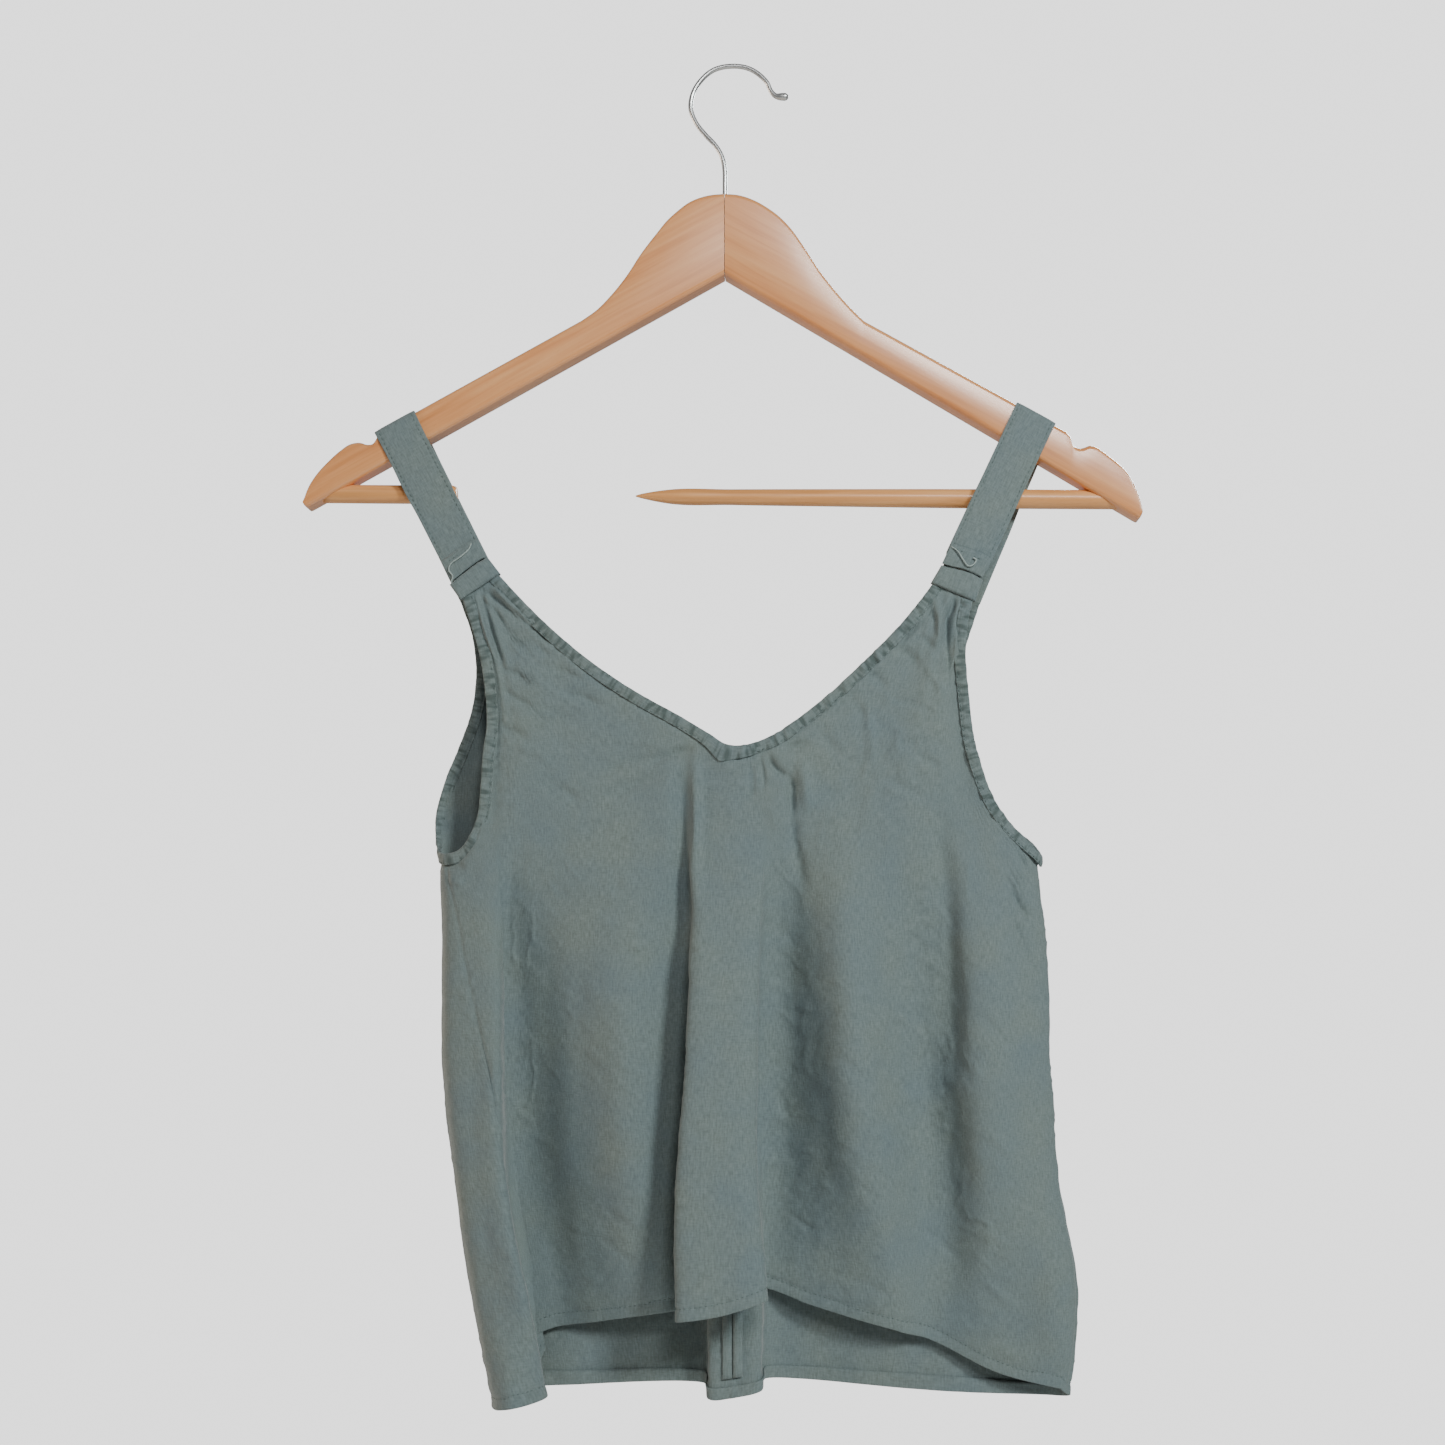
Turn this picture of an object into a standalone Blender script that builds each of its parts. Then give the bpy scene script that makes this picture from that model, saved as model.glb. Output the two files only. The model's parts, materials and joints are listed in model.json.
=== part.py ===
"""A sleeveless blouse that hangs by its two straps from a wooden hanger.

The front faces -Y and +X is on the right of a person looking at it. The origin is the top of the
hook's inner curve, where the hanger rests on its peg. Sizes in the tables are in millimetres:
x across, y in depth (the wall is at +Y) and z up, so that everything on the hanger has z below 0.

The body of the blouse is one closed tube below the armholes. FOLDS gives its fold lines, and a
smooth curve through them is the section at any height. A place round the tube is a line number
with a fraction, called a label. Above the armholes each column of a panel runs on to the edge of
the neck, of an armhole or of a strap.
"""

import math

import bmesh
import bpy
import numpy as np

MM = 0.001

# Cloth
WALL = 1.4
HEM_WALL = 2.6
HEM_WIDTH = 6.5
SEAM_INSIDE = 0.5
SEAM_GAP = 0.3
EDGE_PROBE = 0.5
LABEL_SLACK = 1e-6
TINY = 1e-9
BINDING_WIDTH = 6.0
BINDING_WALL = 2.0
PANEL_ROWS = 24
EDGE_SAMPLES = 200
SHARPEST_CORNER = 0.5
COLUMN_SPACING = 4.0
COLUMN_SOFTNESS = 0.1
ARMHOLE_FADE = 25.0
YOKE_BLEND = 40.0
YOKE_END = -380.0
SEAM_PROBE = 0.02
FRONT_GATHER = 1.6
GATHERS = 2.5
GATHER_START = 5.0
GATHER_RISE = 6.0
GATHER_REACH = 28.0
ALLOWANCE_WIDTH = 5.0
ALLOWANCE_WALL = 0.9

# Straps, with the band that holds the gathered top of the front at each end
STRAP_WIDTH = 24.0
STRAP_END_WIDTH = 21.2
STRAP_WALL = 1.2
STRAP_SHARES = (0, 0.07, 0.11, 0.25, 0.4, 0.55, 0.7, 0.85)
BEND_RADIUS = 3.0
BEND_STEPS = 4
BAND_WALL = 1.1
BAND_SIDE_WALL = 0.7
BAND_CLEARANCE = 0.35
BAND_ROWS = 4
BAND_BULGE = 0.5
BAND_SHOULDER = 0.5
BAND_FLAT = (0.3, 0.7)
HOLE_ALONG = 1.2
HOLE_DEEP = 0.9
TAB_HEIGHT = 12.0
TAB_WIDTH = 22.4
TAB_WALL = 1.0

# Hanger
JOINT_X = -3.6
ARM_THICKNESS = 14.0
BAR_BORE_RADIUS = 5.3
BAR_BORE_START = 150.0
BORE_SIDES = 28
WIRE_SIDES = 12
STEM_BORE_RADIUS = 1.6
STEM_BORE_TOP = -60.0
NUT_RADIUS = 3.0
NUT_HOLE_RADIUS = 1.55
NUT_RECESS_RADIUS = 3.4
NUT_TOP = -104.3
NUT_BOTTOM = -107.3
NUT_RECESS_TOP = -104.0
BORE_BOTTOM = -118.0

# Heights of the six sections through the body
LEVELS = (-426.0, -475.0, -530.0, -590.0, -645.0, -705.0)

# Fold lines round the body, from the back of the left side over the front to the right and round
# the back. Columns: name, grid columns to the next line, x at each level, y at each level.
FOLDS = (
    ("left back", 3, (-150, -148, -146, -139, -130, -117), (12, 13, 13, 12, 12, 12)),
    ("left turn", 3, (-155, -154, -153, -146, -138, -126), (4, 4, 4, 4, 3, 2)),
    ("strip outer", 4, (-150, -149, -147, -141, -132, -121), (-5, -11, -15, -19, -22, -23)),
    ("strip middle", 5, (-138, -136, -134, -130, -119, -111), (-11, -16, -20, -25, -28, -30)),
    ("strip edge", 6, (-124, -122, -121, -118, -106, -96), (-12, -17, -22, -27, -30, -12)),
    ("left valley", 6, (-114, -117, -119, -118, -110, -102), (-10, -6, -1, 2, 2, 1)),
    ("inner panel", 3, (-100, -102, -103, -101, -94, -88), (-10, -5, 0, 3, 3, 1)),
    ("left slope", 3, (-80, -81, -81, -80, -73, -66), (-12, -12, -11, -10, -8, -6)),
    ("left ridge", 3, (-50, -52, -52, -48, -48, -46), (-14, -17, -19, -20, -16, -14)),
    ("tongue left root", 3, (-24, -22, -19, -18, -17, -17), (-13, -10, -9, -9, -10, -10)),
    ("tongue left edge", 2, (-19, -19, -22, -26, -26, -25), (-17, -30, -38, -44, -49, -54)),
    ("tongue middle", 2, (-2, -3, -4, -5, -3, -2), (-19, -31, -39, -46, -51, -55)),
    ("tongue right edge", 3, (16, 15, 14, 14, 19, 20), (-18, -26, -33, -40, -47, -52)),
    ("tongue right root", 2, (24, 22, 20, 20, 21, 22), (-14, -11, -6, -3, -3, -4)),
    ("right valley", 4, (31, 31, 32, 34, 37, 41), (-12, -9, -7, -6, -6, -6)),
    ("right ridge", 8, (58, 60, 66, 74, 84, 90), (-17, -23, -26, -25, -16, -8)),
    ("outer valley", 6, (100, 101, 103, 105, 106, 108), (-12, -7, -4, -5, -6, -6)),
    ("outer ridge", 3, (128, 128, 130, 133, 137, 142), (-12, -19, -22, -20, -13, -9)),
    ("right front edge", 3, (158, 163, 165, 168, 176, 173), (-6, -7, -8, -9, -10, -9)),
    ("right turn", 4, (162, 167, 169, 173, 183, 179), (0, -1, -2, -2, -3, -4)),
    ("right back", 8, (157, 161, 163, 167, 176, 172), (10, 9, 7, 5, 3, 2)),
    ("back right", 5, (110, 112, 112, 112, 112, 112), (15, 12, 8, 3, 0, -1)),
    ("back fold right root", 3, (40, 34, 28, 24, 20, 19), (15, 13, 11, 8, 6, 5)),
    ("back fold right edge", 2, (14, 14, 14, 14, 15, 15), (14, 7, -1, -8, -12, -14)),
    ("back fold middle", 2, (1, 1, 1, 1, 1, 1), (14, 6, -2, -9, -13, -15)),
    ("back fold left edge", 3, (-12, -12, -12, -12, -12, -11), (14, 7, -1, -8, -12, -14)),
    ("back fold left root", 5, (-38, -32, -26, -20, -16, -15), (15, 13, 11, 8, 6, 5)),
    ("back left", 10, (-90, -90, -90, -90, -88, -82), (16, 14, 11, 8, 6, 5)),
)
LINES = len(FOLDS)

# Labels where the pieces meet at the armhole level. The left side seam has one label on the
# front and the same place, one turn on, on the back.
SEAM_LEFT = 2.0
SEAM_RIGHT = 19.0
CENTRE_BACK = 24.0
SEAM_LEFT_FROM_BACK = SEAM_LEFT + LINES
FRONT_FIXED_LEFT = 6.0
FRONT_FIXED_RIGHT = 18.0
BACK_FIXED_RIGHT = 20.0
BACK_FIXED_LEFT = 27.0

# How the side seams wander round the body on the way down. Columns: z, label
LEFT_SEAM_PATH = (
    (-426, 2.0),
    (-455, 2.55),
    (-476, 2.8),
    (-504, 3.2),
    (-537, 3.7),
    (-590, 4.3),
    (-645, 4.7),
    (-705, 5.0),
)
RIGHT_SEAM_PATH = ((-426, 19.0), (-560, 19.1), (-612, 18.7), (-660, 18.5), (-705, 18.5))

# Finished edges above the armhole level. Columns: label, x, z, y, and the way that the cloth
# faces there in degrees, 0 to the front, -90 to the left, 90 to the right and 180 to the back.
# The left armhole runs from the back strap, through the side seam, to the front strap.
ARMHOLE_LEFT = (
    (-0.4, -146.5, -280, 12, -180),
    (-0.3, -140, -300, 13, -180),
    (-0.2, -138, -322, 13, -180),
    (-0.13, -141, -341, 13.5, -180),
    (-0.07, -147, -358, 13.5, -178),
    (0.0, -155, -378, 13, -170),
    (0.5, -159.5, -397, 11.5, -155),
    (1.0, -158, -411, 7, -115),
    (1.5, -155.5, -415.5, 2, -80),
    (2.0, -152, -417, -3, -40),
    (2.5, -145, -416, -6, -20),
    (2.8, -141, -413, -8, -10),
    (3.1, -136.5, -406, -10, 0),
    (3.4, -133, -397, -11.5, 0),
    (3.6, -131.5, -384, -12, 0),
    (3.8, -130, -365, -12.5, 0),
    (4.0, -128, -349, -12.5, 0),
    (4.2, -129, -332, -12.5, 0),
    (4.4, -131.5, -315, -12, 0),
    (4.55, -136, -299, -11.5, 0),
    (14 / 3, -142.3, -279.6, -10.5, 0),
)
NECK_FRONT = (
    (19 / 3, -125.3, -267.3, -10.5, 0),
    (6.65, -104, -290, -11.5, 0),
    (7.0, -89, -304, -12, 0),
    (7.3, -77, -314, -12.5, 0),
    (8.0, -50, -332.5, -13.5, 0),
    (9.0, -25, -346.5, -14.5, 0),
    (10.0, -20, -349.5, -15, 0),
    (10.5, -11, -355, -15.5, 0),
    (11.0, -2, -360.5, -16, 0),
    (11.5, 6.5, -361, -16, 0),
    (12.0, 15, -358.5, -15.5, 0),
    (13.0, 23, -355, -15, 0),
    (14.0, 32, -349, -14, 0),
    (14.5, 48, -336.5, -13.5, 0),
    (15.0, 72, -314.5, -13, 0),
    (15.25, 90, -296, -12, 0),
    (15.5, 109.6, -270.9, -10.5, 0),
)
ARMHOLE_RIGHT = (
    (49 / 3, 128.3, -279.3, -10.5, 0),
    (16.5, 124.5, -296, -11.5, 0),
    (16.7, 123.3, -310, -12, 0),
    (17.0, 125, -335, -12.5, 0),
    (17.25, 128, -358, -12, 0),
    (17.5, 132.5, -374, -11, 8),
    (17.75, 140, -391.5, -9.5, 15),
    (18.0, 149, -403, -7.5, 25),
    (18.5, 158, -412, -5, 45),
    (19.0, 164, -418, -1, 80),
    (19.5, 162, -413, 5, 115),
    (20.0, 154, -405, 9, 150),
    (20.12, 143, -394, 11, 170),
    (20.24, 133, -380, 12, 180),
    (20.36, 126, -362, 13, 180),
    (20.5, 122.5, -335, 13, 180),
    (20.62, 124.5, -310, 13, 180),
    (20.75, 133, -281, 12, 180),
)
NECK_BACK = (
    (21.2, 112, -272, 12, 180),
    (21.4, 93, -298, 14, 180),
    (21.6, 76, -315.5, 15, 180),
    (22.0, 45, -344.5, 16, 180),
    (22.5, 30, -356, 16, 180),
    (23.0, 15, -365, 16, 180),
    (24.0, 0, -369, 16, 180),
    (25.0, -14, -361, 16, 180),
    (25.5, -29, -351, 16, 180),
    (26.0, -44, -341.5, 16, 180),
    (26.4, -69, -325.5, 15.5, 180),
    (26.7, -87, -311.5, 15, 180),
    (27.0, -106, -295, 14, 180),
    (27.2, -126, -269, 12, 180),
)

# Hems. Columns: label, z
FRONT_HEM = (
    (2, -700),
    (3, -690),
    (4, -681),
    (5, -674),
    (6, -668),
    (7, -663.5),
    (8, -659),
    (9, -656),
    (10, -655.5),
    (11, -652),
    (12, -645.5),
    (13, -646),
    (14, -653.5),
    (15, -667),
    (16, -674),
    (17, -690),
    (18, -698.5),
    (19, -702),
)
BACK_HEM = (
    (19, -702),
    (20, -704.5),
    (21, -701.5),
    (22, -696),
    (23, -699),
    (24, -702),
    (25, -703),
    (26, -698.5),
    (27, -699.5),
    (28, -707.5),
    (29, -704),
    (30, -700),
)

# Straps and their bands. "over" is x of the strap's middle on the arm, and the ends are x, y and z
# of its middle line. The band's edges run from its left end to its right end, in x and z.
STRAPS = {
    "left": {
        "over": -177.5,
        "front": (-136.0, -10.5, -271.1),
        "back": (-136.4, 12.0, -274.2),
        "front_across": (0.852, 0.0, 0.524),
        "back_across": (0.881, 0.0, 0.473),
        "band_top": ((-147.7, -275.2), (-127.3, -262.6)),
        "band_low": ((-141.9, -284.4), (-121.0, -270.6)),
    },
    "right": {
        "over": 160.6,
        "front": (119.4, -10.5, -273.2),
        "back": (122.6, 12.0, -276.2),
        "front_across": (0.919, 0.0, -0.393),
        "back_across": (0.919, 0.0, -0.394),
        "band_top": ((110.5, -264.9), (132.3, -274.1)),
        "band_low": ((104.9, -275.4), (128.2, -285.2)),
    },
}

# Outlines of the two arms in x and z: from the joint over the shoulder to the straight top, and
# from the end of the straight top round the notch to the lower tip
ARMS = {
    "left": {
        "shoulder": (
            (-3.75, -68.5),
            (-12, -69.3),
            (-21.8, -72.7),
            (-29, -78),
            (-33.9, -82.5),
            (-39.2, -89),
            (-47.3, -99.5),
            (-56, -112.7),
            (-64, -122.6),
            (-71, -129.7),
            (-78.8, -135.3),
        ),
        "end": (
            (-186, -194.6),
            (-187.8, -198.5),
            (-189.5, -200.6),
            (-192.5, -201),
            (-196, -200),
            (-200.7, -200.5),
            (-207.1, -204.6),
            (-212.9, -209.9),
            (-218.7, -216.2),
            (-222.9, -222.6),
            (-225.3, -228.9),
            (-225.9, -232.5),
            (-224.6, -234),
            (-222, -233),
        ),
        "low_middle": (-3.75, -111.3),
        "bore_end": -216.8,
    },
    "right": {
        "shoulder": (
            (-3.45, -68.5),
            (4, -69.2),
            (12.5, -72.1),
            (19, -75.8),
            (24.5, -79.8),
            (31, -86.3),
            (38, -96),
            (46.8, -109.4),
            (56.3, -121.4),
            (63, -128.8),
            (70, -135.7),
        ),
        "end": (
            (177, -194.4),
            (179.3, -197.5),
            (180.6, -201.5),
            (184, -203),
            (186.7, -202.5),
            (189, -201.6),
            (192.5, -202.2),
            (196.5, -204.8),
            (202.5, -209.4),
            (208.3, -214.7),
            (212.5, -221.5),
            (215.2, -227.9),
            (216.7, -233.7),
            (216.8, -238),
            (215.5, -240),
            (213, -239),
        ),
        "low_middle": (-3.45, -111.3),
        "bore_end": 206.8,
    },
}

# Rings of the arm's rounded rim. Columns: y, how far the outline is drawn in
ARM_RINGS = ((-7, 1.8), (-6.47, 0.53), (-5.2, 0), (5.2, 0), (6.47, 0.53), (7, 1.8))
ARM_STEPS = 2

# Trouser bar, in two pieces, along its middle. Columns: x, z, radius
BARS = {
    "left": (
        (-216.5, -225.9, 4.8),
        (-160, -226.3, 4.8),
        (-147.5, -226.4, 4.7),
        (-146, -226.4, 4.2),
    ),
    "right": (
        (206.5, -229, 5.0),
        (120, -228.4, 5.0),
        (60, -228, 4.6),
        (0, -227.6, 4.1),
        (-34, -227.3, 3.6),
        (-43, -227.1, 2.2),
        (-49, -227, 0.9),
        (-51, -227, 0.3),
    ),
}
BAR_SIDES = 20

# Middle line of the hook from the stem to the tip, chosen by hand. Columns: x, z, radius
HOOK = (
    (-3.6, -108, 1.25),
    (-3.6, -66, 1.25),
    (-3.6, -60, 1.25),
    (-3.6, -56, 1.25),
    (-4.1, -51, 1.25),
    (-5.6, -46, 1.25),
    (-8.6, -41, 1.25),
    (-14, -35.2, 1.25),
    (-19.2, -28.5, 1.25),
    (-21.8, -21, 1.25),
    (-20.5, -13, 1.25),
    (-16.5, -6.5, 1.25),
    (-10, -1, 1.25),
    (0, 1.25, 1.25),
    (9, 0, 1.25),
    (15.5, -4, 1.25),
    (19, -8, 1.25),
    (20.8, -12, 1.25),
    (23.5, -14.6, 1.4),
    (27, -15, 1.9),
    (29, -15, 1.7),
    (30, -15, 0.9),
)
HOOK_STEPS = 3


def glide(knots, values, at):
    """A smooth curve through values at rising knots: cubic pieces whose slopes are those of the
    line between the two neighbours."""
    knots = np.asarray(knots, float)
    values = np.asarray(values, float).reshape(len(knots), -1)
    at = np.clip(np.asarray(at, float), knots[0], knots[-1])
    slopes = np.gradient(values, knots, axis=0)
    piece = np.clip(np.searchsorted(knots, at, side="right") - 1, 0, len(knots) - 2)
    width = knots[piece + 1] - knots[piece]
    t = ((at - knots[piece]) / width)[..., None]
    width = width[..., None]
    start, end = values[piece], values[piece + 1]
    curve = start * (1 - 3 * t**2 + 2 * t**3) + end * (3 * t**2 - 2 * t**3)
    curve += slopes[piece] * width * (t - 2 * t**2 + t**3)
    curve += slopes[piece + 1] * width * (t**3 - t**2)
    return curve


FOLD_XY = np.array([list(zip(row[2], row[3])) for row in FOLDS], float)


def line_at(number, z):
    """x and y of a fold line, whose number wraps round the body, at height z."""
    knots = -np.array(LEVELS)
    drop = np.clip(-z, knots[0], knots[-1])
    values = FOLD_XY[number % LINES]
    slopes = np.gradient(values, knots, axis=-2)
    piece = np.clip(np.searchsorted(knots, drop, side="right") - 1, 0, len(knots) - 2)
    width = knots[piece + 1] - knots[piece]
    t = ((drop - knots[piece]) / width)[..., None]
    width = width[..., None]

    def pick(table, index):
        return np.take_along_axis(table, index[..., None, None], axis=-2)[..., 0, :]

    curve = pick(values, piece) * (1 - 3 * t**2 + 2 * t**3)
    curve += pick(values, piece + 1) * (3 * t**2 - 2 * t**3)
    curve += pick(slopes, piece) * width * (t - 2 * t**2 + t**3)
    curve += pick(slopes, piece + 1) * width * (t**3 - t**2)
    return curve


def body(place, z):
    """x and y of the cloth's middle at a place round the body and a height: a centripetal spline
    through the two fold lines on each side."""
    place, z = np.broadcast_arrays(np.asarray(place, float), np.asarray(z, float))
    number = np.floor(place).astype(int)
    share = (place - number)[..., None]
    a, b, c, d = (line_at(number + step, z) for step in (-1, 0, 1, 2))

    def knot_step(first, second):
        return np.sqrt(np.linalg.norm(second - first, axis=-1, keepdims=True)) + TINY

    t1 = knot_step(a, b)
    t2 = t1 + knot_step(b, c)
    t3 = t2 + knot_step(c, d)
    t = t1 + share * (t2 - t1)
    ab = (a * (t1 - t) + b * t) / t1
    bc = (b * (t2 - t) + c * (t - t1)) / (t2 - t1)
    cd = (c * (t3 - t) + d * (t - t2)) / (t3 - t2)
    abc = (ab * (t2 - t) + bc * t) / t2
    bcd = (bc * (t3 - t) + cd * (t - t1)) / (t3 - t1)
    return (abc * (t2 - t) + bcd * (t - t1)) / (t2 - t1)


def left_seam(z):
    """Where the left side seam lies round the body at height z."""
    path = np.array(LEFT_SEAM_PATH, float)
    return glide(-path[:, 0], path[:, 1], -np.asarray(z))[..., 0]


def right_seam(z):
    """The same for the right side seam."""
    path = np.array(RIGHT_SEAM_PATH, float)
    return glide(-path[:, 0], path[:, 1], -np.asarray(z))[..., 0]


def front_place(label, z):
    """Where a column of the front lies round the body: columns near a seam lean with it."""
    left = (FRONT_FIXED_LEFT - label) / (FRONT_FIXED_LEFT - SEAM_LEFT)
    right = (label - FRONT_FIXED_RIGHT) / (SEAM_RIGHT - FRONT_FIXED_RIGHT)
    from_left = FRONT_FIXED_LEFT - left * (FRONT_FIXED_LEFT - left_seam(z))
    from_right = FRONT_FIXED_RIGHT + right * (right_seam(z) - FRONT_FIXED_RIGHT)
    place = np.where(label < FRONT_FIXED_LEFT, from_left, label)
    return np.where(label > FRONT_FIXED_RIGHT, from_right, place)


def back_place(label, z):
    """The same for the back, which runs from the right seam to the left one."""
    right = (BACK_FIXED_RIGHT - label) / (BACK_FIXED_RIGHT - SEAM_RIGHT)
    left = (label - BACK_FIXED_LEFT) / (SEAM_LEFT_FROM_BACK - BACK_FIXED_LEFT)
    from_right = BACK_FIXED_RIGHT - right * (BACK_FIXED_RIGHT - right_seam(z))
    from_left = BACK_FIXED_LEFT + left * (left_seam(z) + LINES - BACK_FIXED_LEFT)
    place = np.where(label < BACK_FIXED_RIGHT, from_right, label)
    return np.where(label > BACK_FIXED_LEFT, from_left, place)


def edge(table, labels, distance=0.0):
    """Points of a finished edge, moved into the cloth by a distance square to the edge's own run
    and to the way that its cloth faces, and that way. The curve runs evenly along the edge."""
    rows = np.array(table, float)
    steps = np.linalg.norm(np.diff(rows[:, 1:4], axis=0), axis=1)
    length = np.concatenate([[0.0], np.cumsum(steps)])
    at = np.interp(labels, rows[:, 0], length)
    found = glide(length, rows[:, 1:], at)
    before = glide(length, rows[:, 1:], at - EDGE_PROBE)
    after = glide(length, rows[:, 1:], at + EDGE_PROBE)
    facing = np.radians(found[..., 3])
    faces = np.stack([np.sin(facing), -np.cos(facing), 0 * facing], axis=-1)
    inward = unit(np.cross((after - before)[..., [0, 2, 1]], faces))
    return found[..., [0, 2, 1]] + distance * inward, faces


def unit(vectors):
    return vectors / np.maximum(np.linalg.norm(vectors, axis=-1, keepdims=True), TINY)


def panel_labels(start, end):
    """Column labels from one place to another, with each fold line's own number of columns."""
    labels = []
    for number in range(int(start), int(end)):
        steps = FOLDS[number % LINES][1]
        labels += [number + step / steps for step in range(steps)]
    return np.array(labels + [end])


def panel_top(labels, edges):
    """Top edge of a panel, inside its bindings, and the way that it faces. Each of the edges is a
    table and the turns by which its labels differ from the panel's. Columns that no edge holds
    end under a strap, between their neighbours."""
    top = np.empty((len(labels), 6))
    bound = np.zeros(len(labels), bool)
    for table, turns in edges:
        own = labels - turns * LINES
        inside = (own >= table[0][0] - LABEL_SLACK) & (own <= table[-1][0] + LABEL_SLACK)
        top[inside] = np.concatenate(edge(table, own[inside], BINDING_WIDTH + SEAM_GAP), axis=1)
        bound |= inside
    for axis in range(6):
        top[~bound, axis] = np.interp(labels[~bound], labels[bound], top[bound, axis])
    return top[:, :3], unit(top[:, 3:])


def panel_grid(labels, edges, hem, place, rows):
    """Middle surface of a panel: each column runs from the top edge down to the hem."""
    top, _ = panel_top(labels, edges)
    hem = np.array(hem, float)
    hem_z = glide(hem[:, 0], hem[:, 1], labels)[:, 0]
    share = np.linspace(0, 1, rows)
    turn = hem_z + HEM_WIDTH
    z = top[:, None, 2] + share * (turn - top[:, 2])[:, None]
    z = np.concatenate([z, (turn - SEAM_GAP)[:, None], hem_z[:, None]], axis=1)
    grid = surface(labels, z, top, place)
    for table, turns in edges:
        if table in (ARMHOLE_LEFT, ARMHOLE_RIGHT):
            grid = clear_of_armhole(grid, labels - turns * LINES, table)
    return grid


def clear_of_armhole(grid, labels, table):
    """Columns beside an armhole bend round its narrowest place, in their order, so that none of
    them crosses its edge. The labels are the table's own."""
    first, last = max(table[0][0], labels[0]), min(table[-1][0], labels[-1])
    sample = np.linspace(first, last, EDGE_SAMPLES)
    points, _ = edge(table, sample, BINDING_WIDTH + SEAM_GAP)
    rising = np.argsort(points[:, 2])
    z = grid[..., 2]
    edge_x = np.interp(z, points[rising, 2], points[rising, 0])
    edge_label = np.interp(z, points[rising, 2], sample[rising])
    side = np.sign(table[0][1])
    out = side * grid[..., 0]
    limit = side * edge_x - COLUMN_SPACING * np.abs(labels[:, None] - edge_label)
    drop = grid[:, :1, 2] - z
    soft = np.minimum(COLUMN_SOFTNESS * drop, COLUMN_SPACING)
    bent = (out + limit - np.sqrt((out - limit) ** 2 + soft**2)) / 2
    weight = np.clip((z - LEVELS[0]) / ARMHOLE_FADE, 0, 1)
    grid[..., 0] += side * weight * (bent - out)
    return grid


def panel_normals(grid, labels, edges, place):
    """The way out of the cloth at each point. Two panels find the same one along the seam that
    they share, and so do a panel and its binding."""
    along = np.gradient(grid, axis=0)
    for column in (0, -1):
        z = np.minimum(grid[column, :, 2], LEVELS[0])
        seam = place(labels[column], z)
        along[column, :, :2] = body(seam + SEAM_PROBE, z) - body(seam - SEAM_PROBE, z)
        along[column, :, 2] = 0
    normal = unit(np.cross(np.gradient(grid, axis=1), along))
    _, faces = panel_top(labels, edges)
    drop = grid[:, :1, 2] - grid[..., 2]
    weight = np.clip(drop / YOKE_BLEND, 0, 1) * np.clip((YOKE_END - grid[..., 2]) / YOKE_BLEND, 0, 1)
    weight = weight[..., None]
    return unit(normal * weight + faces[:, None] * (1 - weight))


def surface(labels, z, top, place):
    """Points at heights z of each column. Above the armhole level a column is a cubic that leaves
    the edge unbent and joins the body's own slope."""
    level = LEVELS[0]
    columns = np.broadcast_to(labels[:, None], z.shape)
    below = np.minimum(z, level)
    xy = body(place(columns, below), below)
    at_level = body(place(labels, level), level)
    just_below = body(place(labels, level - 1.0), level - 1.0)
    slope = at_level - just_below
    height = (top[:, 2] - level)[:, None, None]
    t = np.clip((top[:, 2][:, None] - z) / (top[:, 2][:, None] - level), 0, 1)[..., None]
    start, end = top[:, None, :2], at_level[:, None, :]
    end_slope = -slope[:, None, :] * height
    start_slope = 1.5 * (end - start) - 0.5 * end_slope
    yoke = start * (1 - 3 * t**2 + 2 * t**3) + end * (3 * t**2 - 2 * t**3)
    yoke += start_slope * (t - 2 * t**2 + t**3) + end_slope * (t**3 - t**2)
    xy = np.where((z > level)[..., None], yoke, xy)
    return np.concatenate([xy, z[..., None]], axis=-1)


def gathered(grid, labels, corners):
    """Gathers under a strap's band: waves across that fade out down the cloth."""
    first, last = corners
    across = np.clip((labels - first) / (last - first), 0, 1)
    inside = (labels > first) & (labels < last)
    wave = np.where(inside, np.sin(2 * math.pi * GATHERS * across) * np.sin(math.pi * across), 0)
    drop = grid[:, :1, 2] - grid[:, :, 2] - GATHER_START
    reach = np.exp(-np.maximum(drop, 0) / GATHER_REACH) * np.clip(drop / GATHER_RISE, 0, 1)
    grid[..., 1] += FRONT_GATHER * wave[:, None] * reach
    return grid


def trimmed(grid):
    """Half the seam gap taken off the first and last columns."""
    grid = grid.copy()
    grid[0] += unit(grid[1] - grid[0]) * SEAM_GAP / 2
    grid[-1] += unit(grid[-2] - grid[-1]) * SEAM_GAP / 2
    return grid


def wall(name, grid, normal, out, inside, material):
    """A closed wall round a middle surface, out and inside being its depths to each side."""
    out = np.broadcast_to(out, grid.shape[:2])[..., None]
    inside = np.broadcast_to(inside, grid.shape[:2])[..., None]
    points = np.concatenate([grid + normal * out, grid - normal * inside]).reshape(-1, 3)
    columns, rows = grid.shape[:2]
    index = np.arange(columns * rows).reshape(columns, rows)
    quads = quads_of(index)
    under = quads_of(index + columns * rows)[:, ::-1]
    rim = np.concatenate([index[0], index[1:, -1], index[-1, -2::-1], index[-2:0:-1, 0]])
    after = np.roll(rim, -1)
    sides = np.stack([after, rim, rim + columns * rows, after + columns * rows], axis=-1)
    faces = split_flat(points, np.concatenate([quads, under, sides]))
    return mesh_object(name, points, faces, material)


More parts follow.
